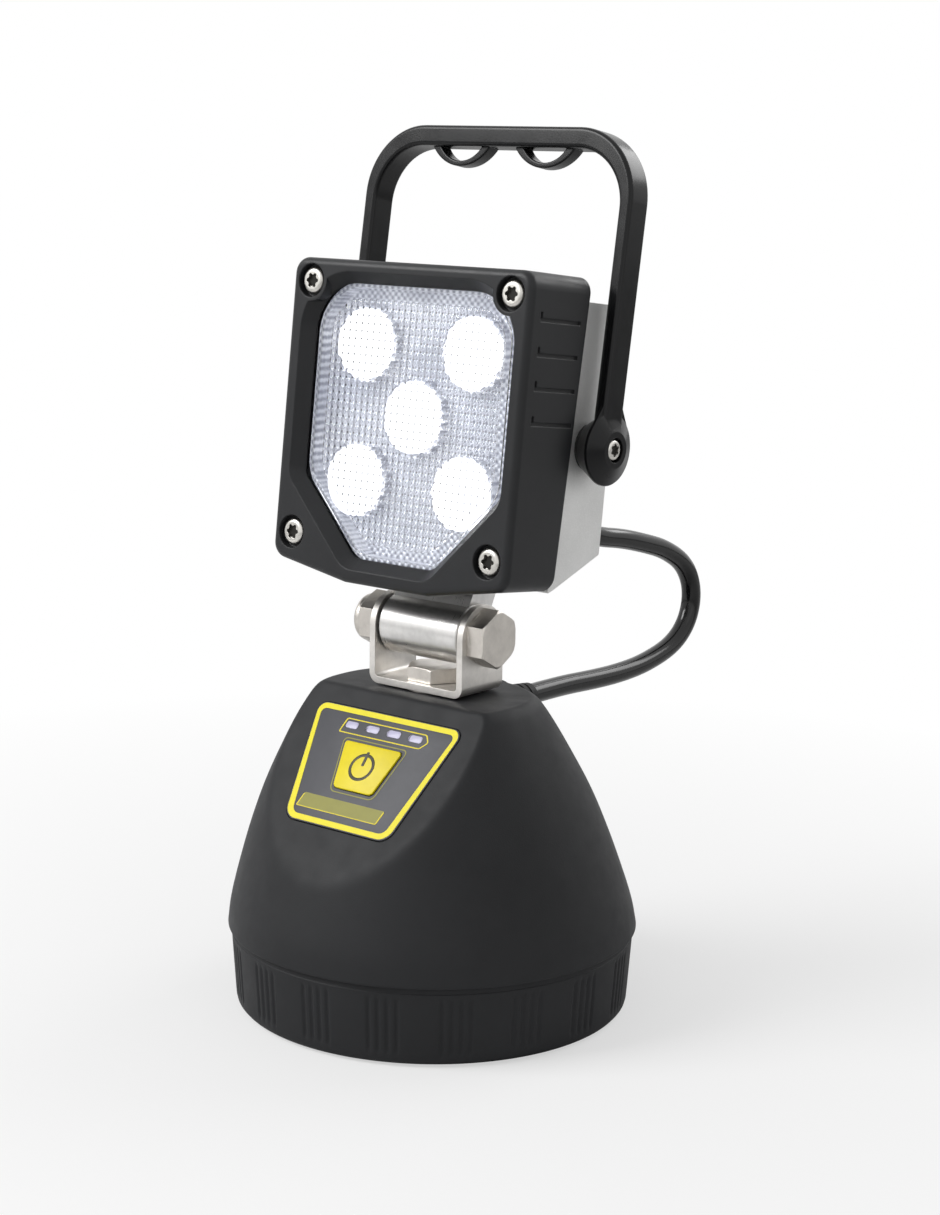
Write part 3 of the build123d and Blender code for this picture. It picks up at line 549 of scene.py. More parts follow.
bracket_steel = metal("bracket_steel", (0.77, 0.745, 0.71), 0.42, lines=(1, 1, 0.06))
turned_steel = metal("turned_steel", (0.76, 0.75, 0.735), 0.29, lines=(1, 0.05, 0.05), depth=0.004)
bolt_steel = metal("bolt_steel", (0.66, 0.625, 0.58), 0.31, scale=420.0, depth=0.09, edge=0.35)
screw_steel = metal("screw_steel", (0.70, 0.68, 0.64), 0.26, scale=900.0, edge=0.15)
plated_steel = metal("plated_steel", (0.62, 0.62, 0.60), 0.35)
washer_black = moulded("washer_plastic", (0.02, 0.02, 0.02), 0.45)


# %% Cast aluminium with a silver coat
def silver_cast():
    """Die-cast metal under thin silver paint: fine bright flakes over a rough skin."""
    finish = Finish("die_cast_silver", Metallic=0.55)
    skin = finish.noise(1500.0, detail=3.0, roughness=0.7)
    cloud = finish.noise(45.0, detail=3.0).step(0.35, 0.7)
    colour = finish.blend(cloud, (0.79, 0.79, 0.78), (0.68, 0.68, 0.67))
    flake = finish.noise(3800.0, detail=1.0).step(0.55, 0.75)
    finish.feed("Base Color", finish.blend(flake * 0.7, colour, (0.96, 0.96, 0.95)))
    finish.feed("Roughness", skin * 0.2 + 0.36)
    finish.bump(skin, 0.10 * MM, edge=0.3 * MM)
    return finish.material


silver_coat = silver_cast()


# %% Give the engineering pieces that are kept their finishes
def dress(material, *names):
    for name in names:
        piece = frame["nodes"][name]
        for slot in piece.material_slots:
            slot.material = material
        if not piece.material_slots:
            piece.data.materials.append(material)


dress(base_black, "bottom_cover")
dress(bezel_black, "front_bezel")
dress(rubber_black, "base_cable_gland", "head_cable_gland", "dust_plug", "lens_gasket")
dress(inner_black, "battery_tray", "battery_cap", "dc_socket", "ring_magnet", "tactile_switch")
dress(pad_black, "rubber_foot_pad")
dress(bracket_steel, "u_bracket")
dress(turned_steel, "tilt_knuckle")
dress(bolt_steel, "pivot_bolt", "pivot_nut", "swivel_bolt", "swivel_washer")
dress(screw_steel, "bezel_screws", "handle_screws", "knuckle_screws")
dress(plated_steel, "cover_screws", "cup_screws", "board_screws", "magnet_cup", "support_plate",
      "swivel_nut", "dc_socket_nut")
dress(washer_black, "friction_washers", "handle_washers", "switch_plunger")
dress(silver_coat, "heat_sink_housing")
for cable in (lower_cable, upper_cable):
    cable.data.materials.append(cable_black)

# %% [markdown]
# ## The switch panel
# A printed film plate lies in a shallow pocket on the facet. Its yellow line, the frames
# round the key and the strip of charge lights are printed on it. Print has a thickness that
# can be felt, so each line is a thin raised plate of its own, cut to shape like the rest.

# %% Helpers for flat pieces
def fresh():
    """Object mode with nothing selected, because an operator acts on all that is selected."""
    if bpy.context.mode != "OBJECT":
        bpy.ops.object.mode_set(mode="OBJECT")
    bpy.ops.object.select_all(action="DESELECT")


def only(piece):
    """Makes this piece the only one that an operator acts on."""
    fresh()
    piece.select_set(True)
    bpy.context.view_layer.objects.active = piece


def edit():
    """Edit mode on the active piece, with all of it selected."""
    bpy.ops.object.mode_set(mode="EDIT")
    bpy.ops.mesh.select_all(action="SELECT")


def done():
    bpy.ops.object.mode_set(mode="OBJECT")


def settle(piece, place=None, turn_out=True):
    """Puts a finished piece's place into its mesh and turns its faces outwards."""
    only(piece)
    bpy.ops.object.transform_apply(location=True, rotation=True, scale=True)
    edit()
    bpy.ops.mesh.remove_doubles(threshold=0.002 * MM)
    if turn_out:
        bpy.ops.mesh.normals_make_consistent(inside=False)
    done()
    if place is not None:
        piece.data.transform(place)
    bpy.ops.object.shade_smooth_by_angle(angle=math.radians(35))


def modify(piece, kind, **settings):
    """Adds a modifier and applies it."""
    only(piece)
    modifier = piece.modifiers.new(kind.title(), kind)
    for name, setting in settings.items():
        setattr(modifier, name, setting)
    bpy.ops.object.modifier_apply(modifier=modifier.name)


def round_edges(piece, width, segments, angle=40):
    """Rounds the edges that turn by more than an angle in degrees; the width is in mm."""
    modify(piece, "BEVEL", width=width * MM, segments=segments, limit_method="ANGLE",
           angle_limit=math.radians(angle))


def metres(points):
    return [(x * MM, y * MM) for x, y in points]


def outline_face(name, points, corners, steps=8):
    """A flat face with these corners, in X and Y; corners pairs each with its rounding."""
    fresh()
    bpy.ops.mesh.primitive_circle_add(vertices=len(points), radius=1, fill_type="NGON")
    piece = bpy.context.object
    piece.name = name
    for vertex, (x, y) in zip(piece.data.vertices, points):
        vertex.co = (x, y, 0)
    shape = bmesh.new()
    shape.from_mesh(piece.data)
    shape.verts.ensure_lookup_table()
    for vertex, size in list(zip(shape.verts, corners)):
        if size:
            bmesh.ops.bevel(shape, geom=[vertex], offset=size, segments=steps, profile=0.5,
                            affect="VERTICES", clamp_overlap=True)
    bmesh.ops.recalc_face_normals(shape, faces=shape.faces)
    shape.to_mesh(piece.data)
    shape.free()
    return piece


def raise_face(piece, low, high):
    """Makes a flat face into a plate between two heights."""
    only(piece)
    edit()
    bpy.ops.transform.translate(value=(0, 0, low))
    bpy.ops.mesh.extrude_region_move(TRANSFORM_OT_translate={"value": (0, 0, high - low)})
    done()


def plate(name, points, corners, low, high, edge=0.0, steps=8):
    """A plate with rounded corners in its own upright frame; edge softens its rims, in mm."""
    if not isinstance(corners, (list, tuple)):
        corners = [corners] * len(points)
    piece = outline_face(name, points, corners, steps)
    raise_face(piece, low, high)
    if edge:
        round_edges(piece, edge, 2)
    return piece


def cut(piece, tool, operation="DIFFERENCE"):
    """Cuts one piece with another, or joins them, as solids; the tool is used up."""
    modify(piece, "BOOLEAN", object=tool, operation=operation, solver="EXACT")
    bpy.data.objects.remove(tool)


def copy_of(piece, name, move):
    """A copy with a mesh of its own, moved."""
    copy = piece.copy()
    copy.data = piece.data.copy()
    copy.name = name
    copy.data.transform(Matrix.Translation(move))
    bpy.context.collection.objects.link(copy)
    return copy


def wear(piece, body, slot, material):
    """What every finished piece gets: the body it rides on, its slot and its finish."""
    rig.ride(piece, body)
    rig.slot(piece, slot)
    piece.data.materials.clear()
    piece.data.materials.append(material)


def tapered(near, far, near_width, far_width):
    """Corners, from mm, of a shape that narrows down the facet from near to far."""
    return metres([(-near_width / 2, -near), (-far_width / 2, -far),
                   (far_width / 2, -far), (near_width / 2, -near)])


# %% Inks and the film
def printed(name, colour, roughness=0.38):
    """Ink or film: even in colour, with the slightest orange peel in its gloss."""
    finish = Finish(name, Specular_IOR_Level=0.3)
    cloud = finish.noise(260.0).step(0.3, 0.7)
    finish.feed("Base Color", finish.blend(cloud, colour, tuple(min(1, c * 1.08) for c in colour)))
    peel = finish.noise(1400.0)
    finish.feed("Roughness", peel * 0.12 + (roughness - 0.06))
    finish.bump(peel, 0.01 * MM)
    return finish.material


yellow_ink = printed("yellow_ink", (0.80, 0.66, 0.008))
lemon_ink = printed("lemon_ink", (0.86, 0.75, 0.003))
film_grey = printed("film_grey", (0.068, 0.069, 0.078), roughness=0.45)
dark_ink = printed("dark_ink", (0.03, 0.027, 0.01))
olive_ink = printed("olive_ink", (0.27, 0.255, 0.04))
lilac_window = printed("indicator_window", (0.55, 0.53, 0.70), roughness=0.25)

# %% Film plate and its printed lines
# near, far, near width and far width, in millimetres down the slope
PANEL = (6.9, 46.9, 58.5, 41.5)
FILM_TOP, FILM_SUNK = 0.4 * MM, 0.7 * MM
INK, INK_SUNK = 0.06 * MM, 0.02 * MM


def grown(by):
    """The panel's tapering shape, larger all round."""
    near, far, near_width, far_width = PANEL
    return tapered(near - by, far + by, near_width + 2.1 * by, far_width + 2.1 * by)


def on_panel(piece, finish):
    settle(piece, facet_frame)
    wear(piece, "base", "panel_print", finish)


def printed_line(name, outer, inner, corners, finish, rise=INK, sunk=INK_SUNK):
    """A thin plate with a smaller one cut out of it; corners has a rounding for each."""
    piece = plate(name, outer, corners[0] * MM, FILM_TOP - sunk, FILM_TOP + rise)
    cut(piece, plate("hole", inner, corners[1] * MM, FILM_TOP - 1 * MM, FILM_TOP + 1 * MM))
    on_panel(piece, finish)


film = plate("film_plate", tapered(*PANEL), 4.0 * MM, -FILM_SUNK, FILM_TOP, edge=0.12)
cut(film, plate("hole", tapered(18.0, 34.2, 23.5, 15.8), 1.5 * MM, -0.5 * MM, 2 * MM))
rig.replaces(film, "panel_overlay")
on_panel(film, film_grey)

printed_line("yellow_border", grown(-0.35), grown(-2.15), (3.8, 2.3), lemon_ink)
printed_line("key_frame_line", tapered(17.0, 35.4, 26.0, 17.4),
             tapered(17.35, 35.05, 25.2, 16.7), (1.9, 1.6), olive_ink)

STRIP_OUTER = [(-15.3, -10.7), (-16.3, -15.9), (16.3, -15.9), (18.7, -13.3), (17.0, -10.7)]
STRIP_INNER = [(-14.8, -11.05), (-15.8, -15.55), (16.1, -15.55), (18.2, -13.3), (16.7, -11.05)]
printed_line("charge_strip_line", metres(STRIP_OUTER), metres(STRIP_INNER), (0.7, 0.5),
             yellow_ink)

LABEL = [(-17.2, -37.6), (-18.2, -42.1), (13.9, -42.1), (15.0, -37.6)]
# the label's line runs round its ends and foot, and is open above
LABEL_LINE = 0.25
label_outer = [(x * 1.01, y - LABEL_LINE) for x, y in LABEL]
label_inner = [(x * 0.985, y) for x, y in LABEL]
on_panel(plate("bare_label", metres(LABEL), 0.5 * MM, FILM_TOP - INK_SUNK, FILM_TOP + INK),
         olive_ink)
printed_line("bare_label_line", metres(label_outer), metres(label_inner), (0.5, 0.3), yellow_ink,
             rise=1.5 * INK, sunk=INK_SUNK / 2)
print("panel pieces:", len([o for o in bpy.data.objects if "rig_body" in o]))

# %% Charge-light windows
LED_ROW, LED_PITCH, FIRST_LED = -12.9, 8.6, -12.2
HALF_LENGTH, HALF_HEIGHT = 2.35, 1.15
left, right_end = FIRST_LED - HALF_LENGTH, FIRST_LED + HALF_LENGTH
foot, head = LED_ROW - HALF_HEIGHT, LED_ROW + HALF_HEIGHT
window = metres([(left, foot), (right_end, foot), (right_end, head), (left, head)])
first = plate("charge_window_1", window, 0.8 * MM, FILM_TOP - 0.3 * MM, FILM_TOP + 0.15 * MM,
              edge=0.1)
copies = [copy_of(first, f"charge_window_{i + 1}", (i * LED_PITCH * MM, 0, 0))
          for i in range(1, 4)]
for window in [first] + copies:
    settle(window, facet_frame)
    wear(window, "base", "indicator_window", lilac_window)
dress(lilac_window, "led_windows", "indicator_leds")

# %% [markdown]
# ## The power key
# The key is one soft moulding that stands just proud of the film, and moves when pressed, so
# it rides on a body of its own. The round mark with a bar is the common sign for power.

# %% Power key and its mark
KEY_FOOT, KEY_TOP = 0.25 * MM, 1.1 * MM
RING_RADIUS, STROKE, FLATTENED = 4.15 * MM, 0.52 * MM, 0.2
MARK_X, MARK_Y = -0.5 * MM, -25.9 * MM
key = plate("power_key", tapered(18.2, 34.0, 23.0, 15.4), 1.4 * MM, KEY_FOOT, KEY_TOP, edge=0.35)
settle(key, facet_frame)
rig.replaces(key, "power_button")
wear(key, "power_key", "key_rubber", yellow_ink)


GAP = [(-1.35, 0), (-1.35, 6), (1.35, 6), (1.35, 0)]
BAR = [(-0.5, 0.4), (0.5, 0.4), (0.5, 5.3), (-0.5, 5.3)]


def power_mark():
    """A ring open at the top with a bar in the gap."""
    fresh()
    bpy.ops.mesh.primitive_torus_add(major_radius=RING_RADIUS, minor_radius=STROKE,
                                     major_segments=72, minor_segments=8)
    ring = bpy.context.object
    ring.name = "power_mark"
    cut(ring, plate("gap", metres(GAP), 0, -1 * MM, 1 * MM))
    cut(ring, plate("bar", metres(BAR), 0.35 * MM, -0.4 * MM, 0.4 * MM), "UNION")
    ring.data.transform(Matrix.Diagonal((1, 1, FLATTENED, 1)))
    return ring


mark = power_mark()
settle(mark, facet_frame @ Matrix.Translation((MARK_X, MARK_Y, KEY_TOP)))
wear(mark, "power_key", "key_rubber", dark_ink)
print("key top, mm above the facet:", round(KEY_TOP / MM, 2))

# %% [markdown]
# ## The dome
# The base's upper shell is one moulding. It is round where it meets the skirt ring, grows
# squarer and narrower upwards, and is cut flat on top and by the sloping facet. A real mould
# has no sharp change between such surfaces. So the shell is a fine sheet rolled into a tube,
# each of whose points is placed by a formula: a superellipse for its ring, then a soft
# "lesser of two heights" for the platform and again for the facet. The seats, the pocket and
# the holes are cut last.

# %% A sheet rolled into a closed tube
def rolled_sheet(name, around, along, where):
    """A tube of quads with closed ends; where gives a point from two numbers, 0 to 1."""
    fresh()
    bpy.ops.mesh.primitive_grid_add(x_subdivisions=around, y_subdivisions=along, size=1)
    piece = bpy.context.object
    piece.name = name
    for vertex in piece.data.vertices:
        vertex.co = where(vertex.co.x + 0.5, vertex.co.y + 0.5)
    edit()
    bpy.ops.mesh.remove_doubles(threshold=0.001 * MM)
    bpy.ops.mesh.select_all(action="DESELECT")
    bpy.ops.mesh.select_mode(type="EDGE")
    bpy.ops.mesh.select_non_manifold()
    bpy.ops.mesh.edge_face_add()
    bpy.ops.mesh.select_all(action="SELECT")
    bpy.ops.mesh.normals_make_consistent(inside=False)
    done()
    return piece


def soft_least(one, other, blend):
    """The lesser of two heights, with a rounded change from one to the other."""
    near = max(blend - abs(one - other), 0) / blend
    return min(one, other) - near * near * blend / 4


def through(stations, height):
    """A smooth line through rows of numbers, read at a height: a cubic between each two."""
    last = len(stations) - 1
    i = max(k for k in range(last) if k == 0 or stations[k][0] <= height)
    (low, *one), (high, *two) = stations[i], stations[i + 1]
    before, after = stations[max(i - 1, 0)], stations[min(i + 2, last)]
    t, span = (height - low) / (high - low), high - low
    result = []
    for k, (a, b) in enumerate(zip(one, two), 1):
        slope_a = (b - before[k]) / (high - before[0])
        slope_b = (after[k] - a) / (after[0] - low)
        result.append(a * (1 + 2 * t) * (1 - t) ** 2 + b * t * t * (3 - 2 * t)
                      + span * (slope_a * t * (1 - t) ** 2 - slope_b * t * t * (1 - t)))
    return result


# %% The dome's surface
# height, half width, half depth, centre's Y and squareness, in millimetres; the last rows
# lie above the platform and are pressed down onto it
DOME_STATIONS = (
    (25.3, 65.0, 65.0, 0.0, 2.00), (33.0, 63.8, 63.6, -0.5, 2.00),
    (44.0, 61.0, 59.4, -1.3, 2.03), (57.0, 57.0, 53.8, -2.2, 2.08),
    (70.0, 52.0, 47.6, -3.0, 2.15), (84.0, 45.2, 39.6, -4.0, 2.25),
    (94.0, 40.0, 33.0, -4.6, 2.35), (101.0, 35.8, 28.0, -5.0, 2.40),
    (108.0, 31.4, 22.8, -4.4, 2.40), (140.0, 0.6, 0.4, 0.0, 2.20),
)
PLATFORM, SHELL_WALL = 101.0, 3.0
RIM_BLEND, FACET_BLEND = 3.4, 1.1
facet_out = (-math.sin(FACET_SLOPE), math.cos(FACET_SLOPE))


def dome_point(turn, height, inset):
    """A point of the shell, drawn in by inset; in metres."""
    half_width, half_depth, centre, power = through(DOME_STATIONS, height)
    c, s = math.cos(2 * math.pi * turn), math.sin(2 * math.pi * turn)
    x = max(half_width - inset, 0.1) * math.copysign(abs(c) ** (2 / power), c)
    y = centre + max(half_depth - inset, 0.1) * math.copysign(abs(s) ** (2 / power), s)
    z = soft_least(height, PLATFORM - inset, RIM_BLEND)
    above = (y - FACET_Y / MM) * facet_out[0] + (z - PLATFORM) * facet_out[1] + inset
    lowered = soft_least(above, 0, FACET_BLEND) - above
    return Vector((x, y + lowered * facet_out[0], z + lowered * facet_out[1])) * MM


def dome_solid(name, around, inset, heights):
    """heights pairs each ring's height with how far its edge is drawn in."""
    def where(turn, level):
        height, extra = heights[round(level * (len(heights) - 1))]
        return dome_point(turn, height, inset + extra)
    return rolled_sheet(name, around, len(heights) - 1, where)


lower_lip = [(25.3, 0.55), (25.38, 0.25), (25.6, 0.07), (25.95, 0.0)]
side_rings = [(26.6 + 1.3 * i, 0.0) for i in range(54)]
rim_rings = [(96.4 + 0.55 * i, 0.0) for i in range(20)]
top_rings = [(108.4 + 1.2 * i, 0.0) for i in range(26)]
dome = dome_solid("dome", 320, 0.0, lower_lip + side_rings + rim_rings + top_rings)
cut(dome, dome_solid("hollow", 96, SHELL_WALL, [(20.0 + 4.0 * i, 0.0) for i in range(31)]))
print("dome faces:", len(dome.data.polygons))


# %% Seats, pocket and holes of the dome
def drill(radius, low, high, along="Y", at=(0, 0)):
    """A round tool between two places along Y or Z, in millimetres."""
    fresh()
    middle, length = (low + high) / 2, high - low
    where, tilt = (((*at, middle), 0) if along == "Z"
                   else ((at[0], middle, at[1]), math.pi / 2))
    bpy.ops.mesh.primitive_cylinder_add(vertices=72, radius=radius * MM, depth=length * MM,
                                        location=[c * MM for c in where], rotation=(tilt, 0, 0))
    tool = bpy.context.object
    bpy.ops.object.transform_apply(location=True, rotation=True, scale=True)
    return tool


def gathered(pieces):
    """Several separate pieces made one mesh."""
    fresh()
    for piece in pieces:
        piece.select_set(True)
    bpy.context.view_layer.objects.active = pieces[0]
    bpy.ops.object.join()
    return pieces[0]


def on_facet(piece):
    piece.data.transform(facet_frame)
    return piece


# height, face, and radii of the boss, its pocket and its hole, in millimetres
GLAND_Z, GLAND_SEAT, GLAND_BOSS, GLAND_POCKET, GLAND_HOLE = 90.0, 33.5, 7.8, 6.6, 5.0
SOCKET_Z, SOCKET_SEAT, SOCKET_BOSS, SOCKET_POCKET, SOCKET_HOLE = 44.0, 54.5, 10.6, 9.2, 5.5
SWIVEL_HOLE, KEY_HOLE, KEY_MIDDLE = 5.3, 5.0, -26.5
at_gland, at_socket = (0, GLAND_Z), (0, SOCKET_Z)
bosses = [drill(GLAND_BOSS, 26, GLAND_SEAT, at=at_gland),
          drill(SOCKET_BOSS, 51, SOCKET_SEAT, at=at_socket)]
for boss in bosses:
    round_edges(boss, 0.7, 3)
cut(dome, gathered(bosses), "UNION")

pocket = plate("pocket", tapered(6.6, 47.2, 59.2, 42.0), 4.2 * MM, -0.8 * MM, 5 * MM)
cut(dome, gathered([on_facet(pocket), drill(GLAND_POCKET, GLAND_SEAT, 50, at=at_gland),
                    drill(SOCKET_POCKET, SOCKET_SEAT, 70, at=at_socket)]))
cut(dome, gathered([drill(GLAND_HOLE, 20, 40, at=at_gland),
                    drill(SOCKET_HOLE, 45, 60, at=at_socket), drill(SWIVEL_HOLE, 90, 110, "Z"),
                    on_facet(drill(KEY_HOLE, -8, 3, "Z", at=(0, KEY_MIDDLE)))]))
settle(dome, turn_out=False)
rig.replaces(dome, "base_housing")
wear(dome, "base", "base_plastic", base_black)
print("dome faces after the cuts:", len(dome.data.polygons))

# %% [markdown]
# ## The skirt ring
# The foot of the base is a separate ring with groups of fine upright grooves for the grip.
# The dome stands over it by a hair, and a shallow step runs round just under the joint. The
# grooves have soft lips, so they are pressed into the rolled sheet by a formula too: a smooth
# dip across each groove, faded out at its two ends.

# %% Skirt ring
SKIRT_LEVELS = (
    (58.0, 5.0), (59.6, 0.75), (59.9, 0.6), (60.6, 0.62), (61.5, 0.95), (62.15, 1.7), (62.4, 2.7),
    (62.5, 3.9), (62.56, 4.7), (62.63, 5.6), (62.7, 6.6), (63.0, 11.0), (63.35, 16.0),
    (63.62, 20.0), (63.68, 21.0), (63.74, 21.9), (63.80, 22.7), (63.84, 23.2), (63.55, 23.5),
    (63.5, 24.1), (63.3, 24.9), (62.9, 25.0), (61.3, 25.0), (61.2, 7.6),
)
RIB_GROUPS, RIBS_PER_GROUP = 18, 4
RIB_PITCH, RIB_START = math.radians(2.6), math.radians(6.5)
RIB_DEPTH, RIB_HALF_WIDTH, RIB_LOW, RIB_HIGH = 0.42, 0.85, 3.6, 22.2
LOW_FADE, HIGH_FADE, SKIRT_RADIUS, INNER_RADIUS = 1.6, 1.3, 63.5, 61.5


def groove_depth(turn, height):
    """How deep the surface is pressed in, at an angle in radians and a height; both soft."""
    group = 2 * math.pi / RIB_GROUPS
    inside = (turn - RIB_START + math.pi / 2 + group / 2) % group - group / 2
    nearest = min(max(round(inside / RIB_PITCH + 1.5), 0), RIBS_PER_GROUP - 1) - 1.5
    across = abs(inside - nearest * RIB_PITCH) * SKIRT_RADIUS
    dip = max(0.0, 1 - (across / RIB_HALF_WIDTH) ** 2) ** 1.3
    foot = min(max((height - RIB_LOW) / LOW_FADE, 0), 1)
    return RIB_DEPTH * dip * foot * min(max((RIB_HIGH - height) / HIGH_FADE, 0), 1)


def skirt_point(turn, level):
    radius, height = SKIRT_LEVELS[round(level * (len(SKIRT_LEVELS) - 1))]
    angle = 2 * math.pi * turn
    radius -= groove_depth(angle, height) if radius > INNER_RADIUS else 0
    return Vector((radius * math.cos(angle), radius * math.sin(angle), height)) * MM


def pick_faces(piece, wanted):
    """In edit mode, selects the faces that are wanted and no others."""
    bpy.ops.mesh.select_mode(type="FACE")
    bpy.ops.mesh.select_all(action="DESELECT")
    shape = bmesh.from_edit_mesh(piece.data)
    for face in shape.faces:
        face.select = wanted(face)
    bmesh.update_edit_mesh(piece.data)


def open_tube(piece):
    """Joins a tube's two end faces into one wall, so that the tube becomes a ring."""
    only(piece)
    edit()
    pick_faces(piece, lambda face: len(face.verts) > 4)
    bpy.ops.mesh.bridge_edge_loops()
    done()


skirt = rolled_sheet("skirt", 1080, len(SKIRT_LEVELS) - 1, skirt_point)
open_tube(skirt)
settle(skirt)
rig.replaces(skirt, "skirt_ring")
wear(skirt, "base", "base_plastic", base_black)
print("skirt faces:", len(skirt.data.polygons))

# %% [markdown]
# ## The recesses of the screws
# A six-lobe recess is deep and narrow, and looks nearly black. Its floor is a small star of
# its own: a thin plate whose rim goes in and out six times. Its near-black colour is painted
# shade, standing in for the shade deep in the recess.

# %% Floors of the screw recesses
def recess_floor(name, size):
    """A thin six-lobed plate that closes the bottom of a recess, facing Z."""
    fresh()
    bpy.ops.mesh.primitive_circle_add(vertices=72, radius=1, fill_type="NGON")
    piece = bpy.context.object
    piece.name = name
    for vertex, angle in zip(piece.data.vertices, circle(72)):
        reach = size * (0.885 + 0.145 * math.cos(6 * angle))
        vertex.co = (reach * math.cos(angle), reach * math.sin(angle), 0)
    raise_face(piece, 0, 0.25 * MM)
    return piece


# painted shade: the floors' near-black colour stands in for the shade deep in each recess
recess_painted_shade = moulded("recess_shade", (0.012, 0.011, 0.009), 0.55)
HEAD_MID = 65.0 * MM
SCREW_SPREAD, SCREW_FLOOR, SCREW_SIZE = 38.9 * MM, 25.9 * MM, 2.3 * MM
HINGE_FLOOR, HINGE_SIZE = 52.9 * MM, 2.0 * MM
# on the head's face: X to the right, Y up, Z out of the front
face_frame = head_frame @ Matrix.Rotation(math.radians(90), 4, "X")
floors = []
for x in (-SCREW_SPREAD, SCREW_SPREAD):
    for y in (HEAD_MID - SCREW_SPREAD, HEAD_MID + SCREW_SPREAD):
        floors.append((face_frame @ Matrix.Translation((x, y, SCREW_FLOOR)), SCREW_SIZE))
for side in (-1, 1):
    place = Matrix.Translation((side * HINGE_FLOOR, HANDLE_Y, HANDLE_Z))
    outwards = Matrix.Rotation(side * math.pi / 2, 4, "Y")
    floors.append((head_frame @ place @ outwards, HINGE_SIZE))
for number, (place, size) in enumerate(floors, 1):
    small = recess_floor(f"recess_floor_{number}", size)
    settle(small, place)
    wear(small, "lamp_head", "screw_steel", recess_painted_shade)
print("recess floors:", len(floors))

# %% [markdown]
# ## The lens and what shines through it
# The lens is one clear moulding. Its outer face is flat, so that it wipes clean, and its
# inner face is all small pillows that break up and spread the light. Behind it a plated
# plate fills the space round five round optics, each over one emitter; its glow is painted
# light, standing in for the emitters' light that it would catch. The pillows are real
# shape: a fine grid is lifted by a formula and cut to the window's outline.

# %% Outline of the lens opening
WINDOW_HALF, WINDOW_TOP, WINDOW_BOTTOM = 38.6 * MM, 104.0 * MM, 20.5 * MM
WINDOW_KNEE, WINDOW_FOOT = 44.5 * MM, 15.5 * MM
WINDOW_CORNER, SMALL_CORNER = 15.5 * MM, 4 * MM


def window_plate(name, grow, low, high):
    """A plate with the opening's outline, larger or smaller all round by grow, in mm."""
    grow *= MM
    half, top, bottom = WINDOW_HALF + grow, WINDOW_TOP + grow, WINDOW_BOTTOM - grow
    knee, foot = WINDOW_KNEE - grow / 2, WINDOW_FOOT + grow / 2
    points = [(-half, top), (-half, knee), (-foot, bottom), (foot, bottom), (half, knee),
              (half, top)]
    big = WINDOW_CORNER + grow
    return plate(name, points, [big, *[SMALL_CORNER] * 4, big], low, high)


# %% Lens
LENS_FACE, LENS_BACK, LENS_LEDGE = 23.2 * MM, 20.2 * MM, 22.55 * MM
PILLOW, PILLOW_DEPTH = 2.4 * MM, 0.42 * MM


def pillow_slab(low, high, depth, pitch):
    """A slab whose underside is a field of square pillows, in the head face's frame."""
    columns, rows, middle = 34, 38, (WINDOW_TOP + WINDOW_BOTTOM) / 2
    fresh()
    bpy.ops.mesh.primitive_grid_add(x_subdivisions=columns * 4, y_subdivisions=rows * 4, size=1)
    slab = bpy.context.object
    slab.scale = (columns * pitch, rows * pitch, 1)
    slab.location = (0, middle, low)
    bpy.ops.object.transform_apply(location=True, rotation=False, scale=True)
    for vertex in slab.data.vertices:
        across = math.sin(math.pi * vertex.co.x / pitch)
        upwards = math.sin(math.pi * (vertex.co.y - middle) / pitch)
        vertex.co.z -= depth * abs(across * upwards)
    edit()
    bpy.ops.mesh.extrude_region_move()
    bpy.ops.transform.resize(value=(1, 1, 0))
    bpy.ops.transform.translate(value=(0, 0, high - low + depth * 0.4))
    done()
    return slab


lens = window_plate("clear_lens", 1.9, LENS_BACK, LENS_LEDGE)
cut(lens, window_plate("step", -1.0, LENS_BACK + 0.1 * MM, LENS_FACE), "UNION")
pillows = pillow_slab(LENS_BACK - 0.1 * MM, LENS_BACK + 0.6 * MM, PILLOW_DEPTH, PILLOW)
cut(pillows, window_plate("trim", -4.6, LENS_BACK - 3 * MM, LENS_BACK + 1.2 * MM), "INTERSECT")
cut(lens, pillows, "UNION")
settle(lens, face_frame)
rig.replaces(lens, "lens")


def clear_polymer():
    """Clear moulding with the faintest waviness and a few rubbed patches."""
    finish = Finish("lens_clear", Transmission_Weight=1.0, IOR=1.49)
    haze = finish.noise(60.0, detail=3.0).step(0.4, 0.8)
    finish.feed("Base Color", finish.blend(haze, (0.97, 0.98, 1.0), (0.93, 0.95, 1.0)))
    finish.feed("Roughness", haze * 0.05 + 0.015)
    finish.bump(finish.noise(120.0), 0.01 * MM)
    return finish.material


wear(lens, "lamp_head", "lens_clear", clear_polymer())
print("lens faces:", len(lens.data.polygons))

# %% Shining optics and the plated plate
OPTIC_SPREAD, OPTIC_RADIUS = 21.0 * MM, 11.0 * MM
optic_places = [(0.0, HEAD_MID)] + [
    (x, y) for x in (-OPTIC_SPREAD, OPTIC_SPREAD)
    for y in (HEAD_MID - OPTIC_SPREAD, HEAD_MID + OPTIC_SPREAD)]
# how far each step goes inwards, and then along Z, in millimetres
FRONT_STEPS = ((0.7, -0.35), (1.4, 0.5), (3.4, -0.25), (1.3, 0.5))
CUP_STEPS = ((1.6, -2.8), (2.2, -3.4), (2.0, -2.2))


def optic():
    """A collimator: a flared cup with a stepped rim, a dished face and a raised centre."""
    fresh()
    bpy.ops.mesh.primitive_cylinder_add(vertices=72, radius=OPTIC_RADIUS, depth=1.4 * MM,
                                        location=(0, 0, 18.3 * MM))
    piece = bpy.context.object
    edit()
    for facing, steps in ((1, FRONT_STEPS), (-1, CUP_STEPS)):
        pick_faces(piece, lambda face: face.normal.z * facing > 0.9)
        for inward, forward in steps:
            bpy.ops.mesh.inset(thickness=inward * MM)
            bpy.ops.transform.translate(value=(0, 0, forward * MM))
    done()
    round_edges(piece, 0.12, 2, angle=30)
    return piece


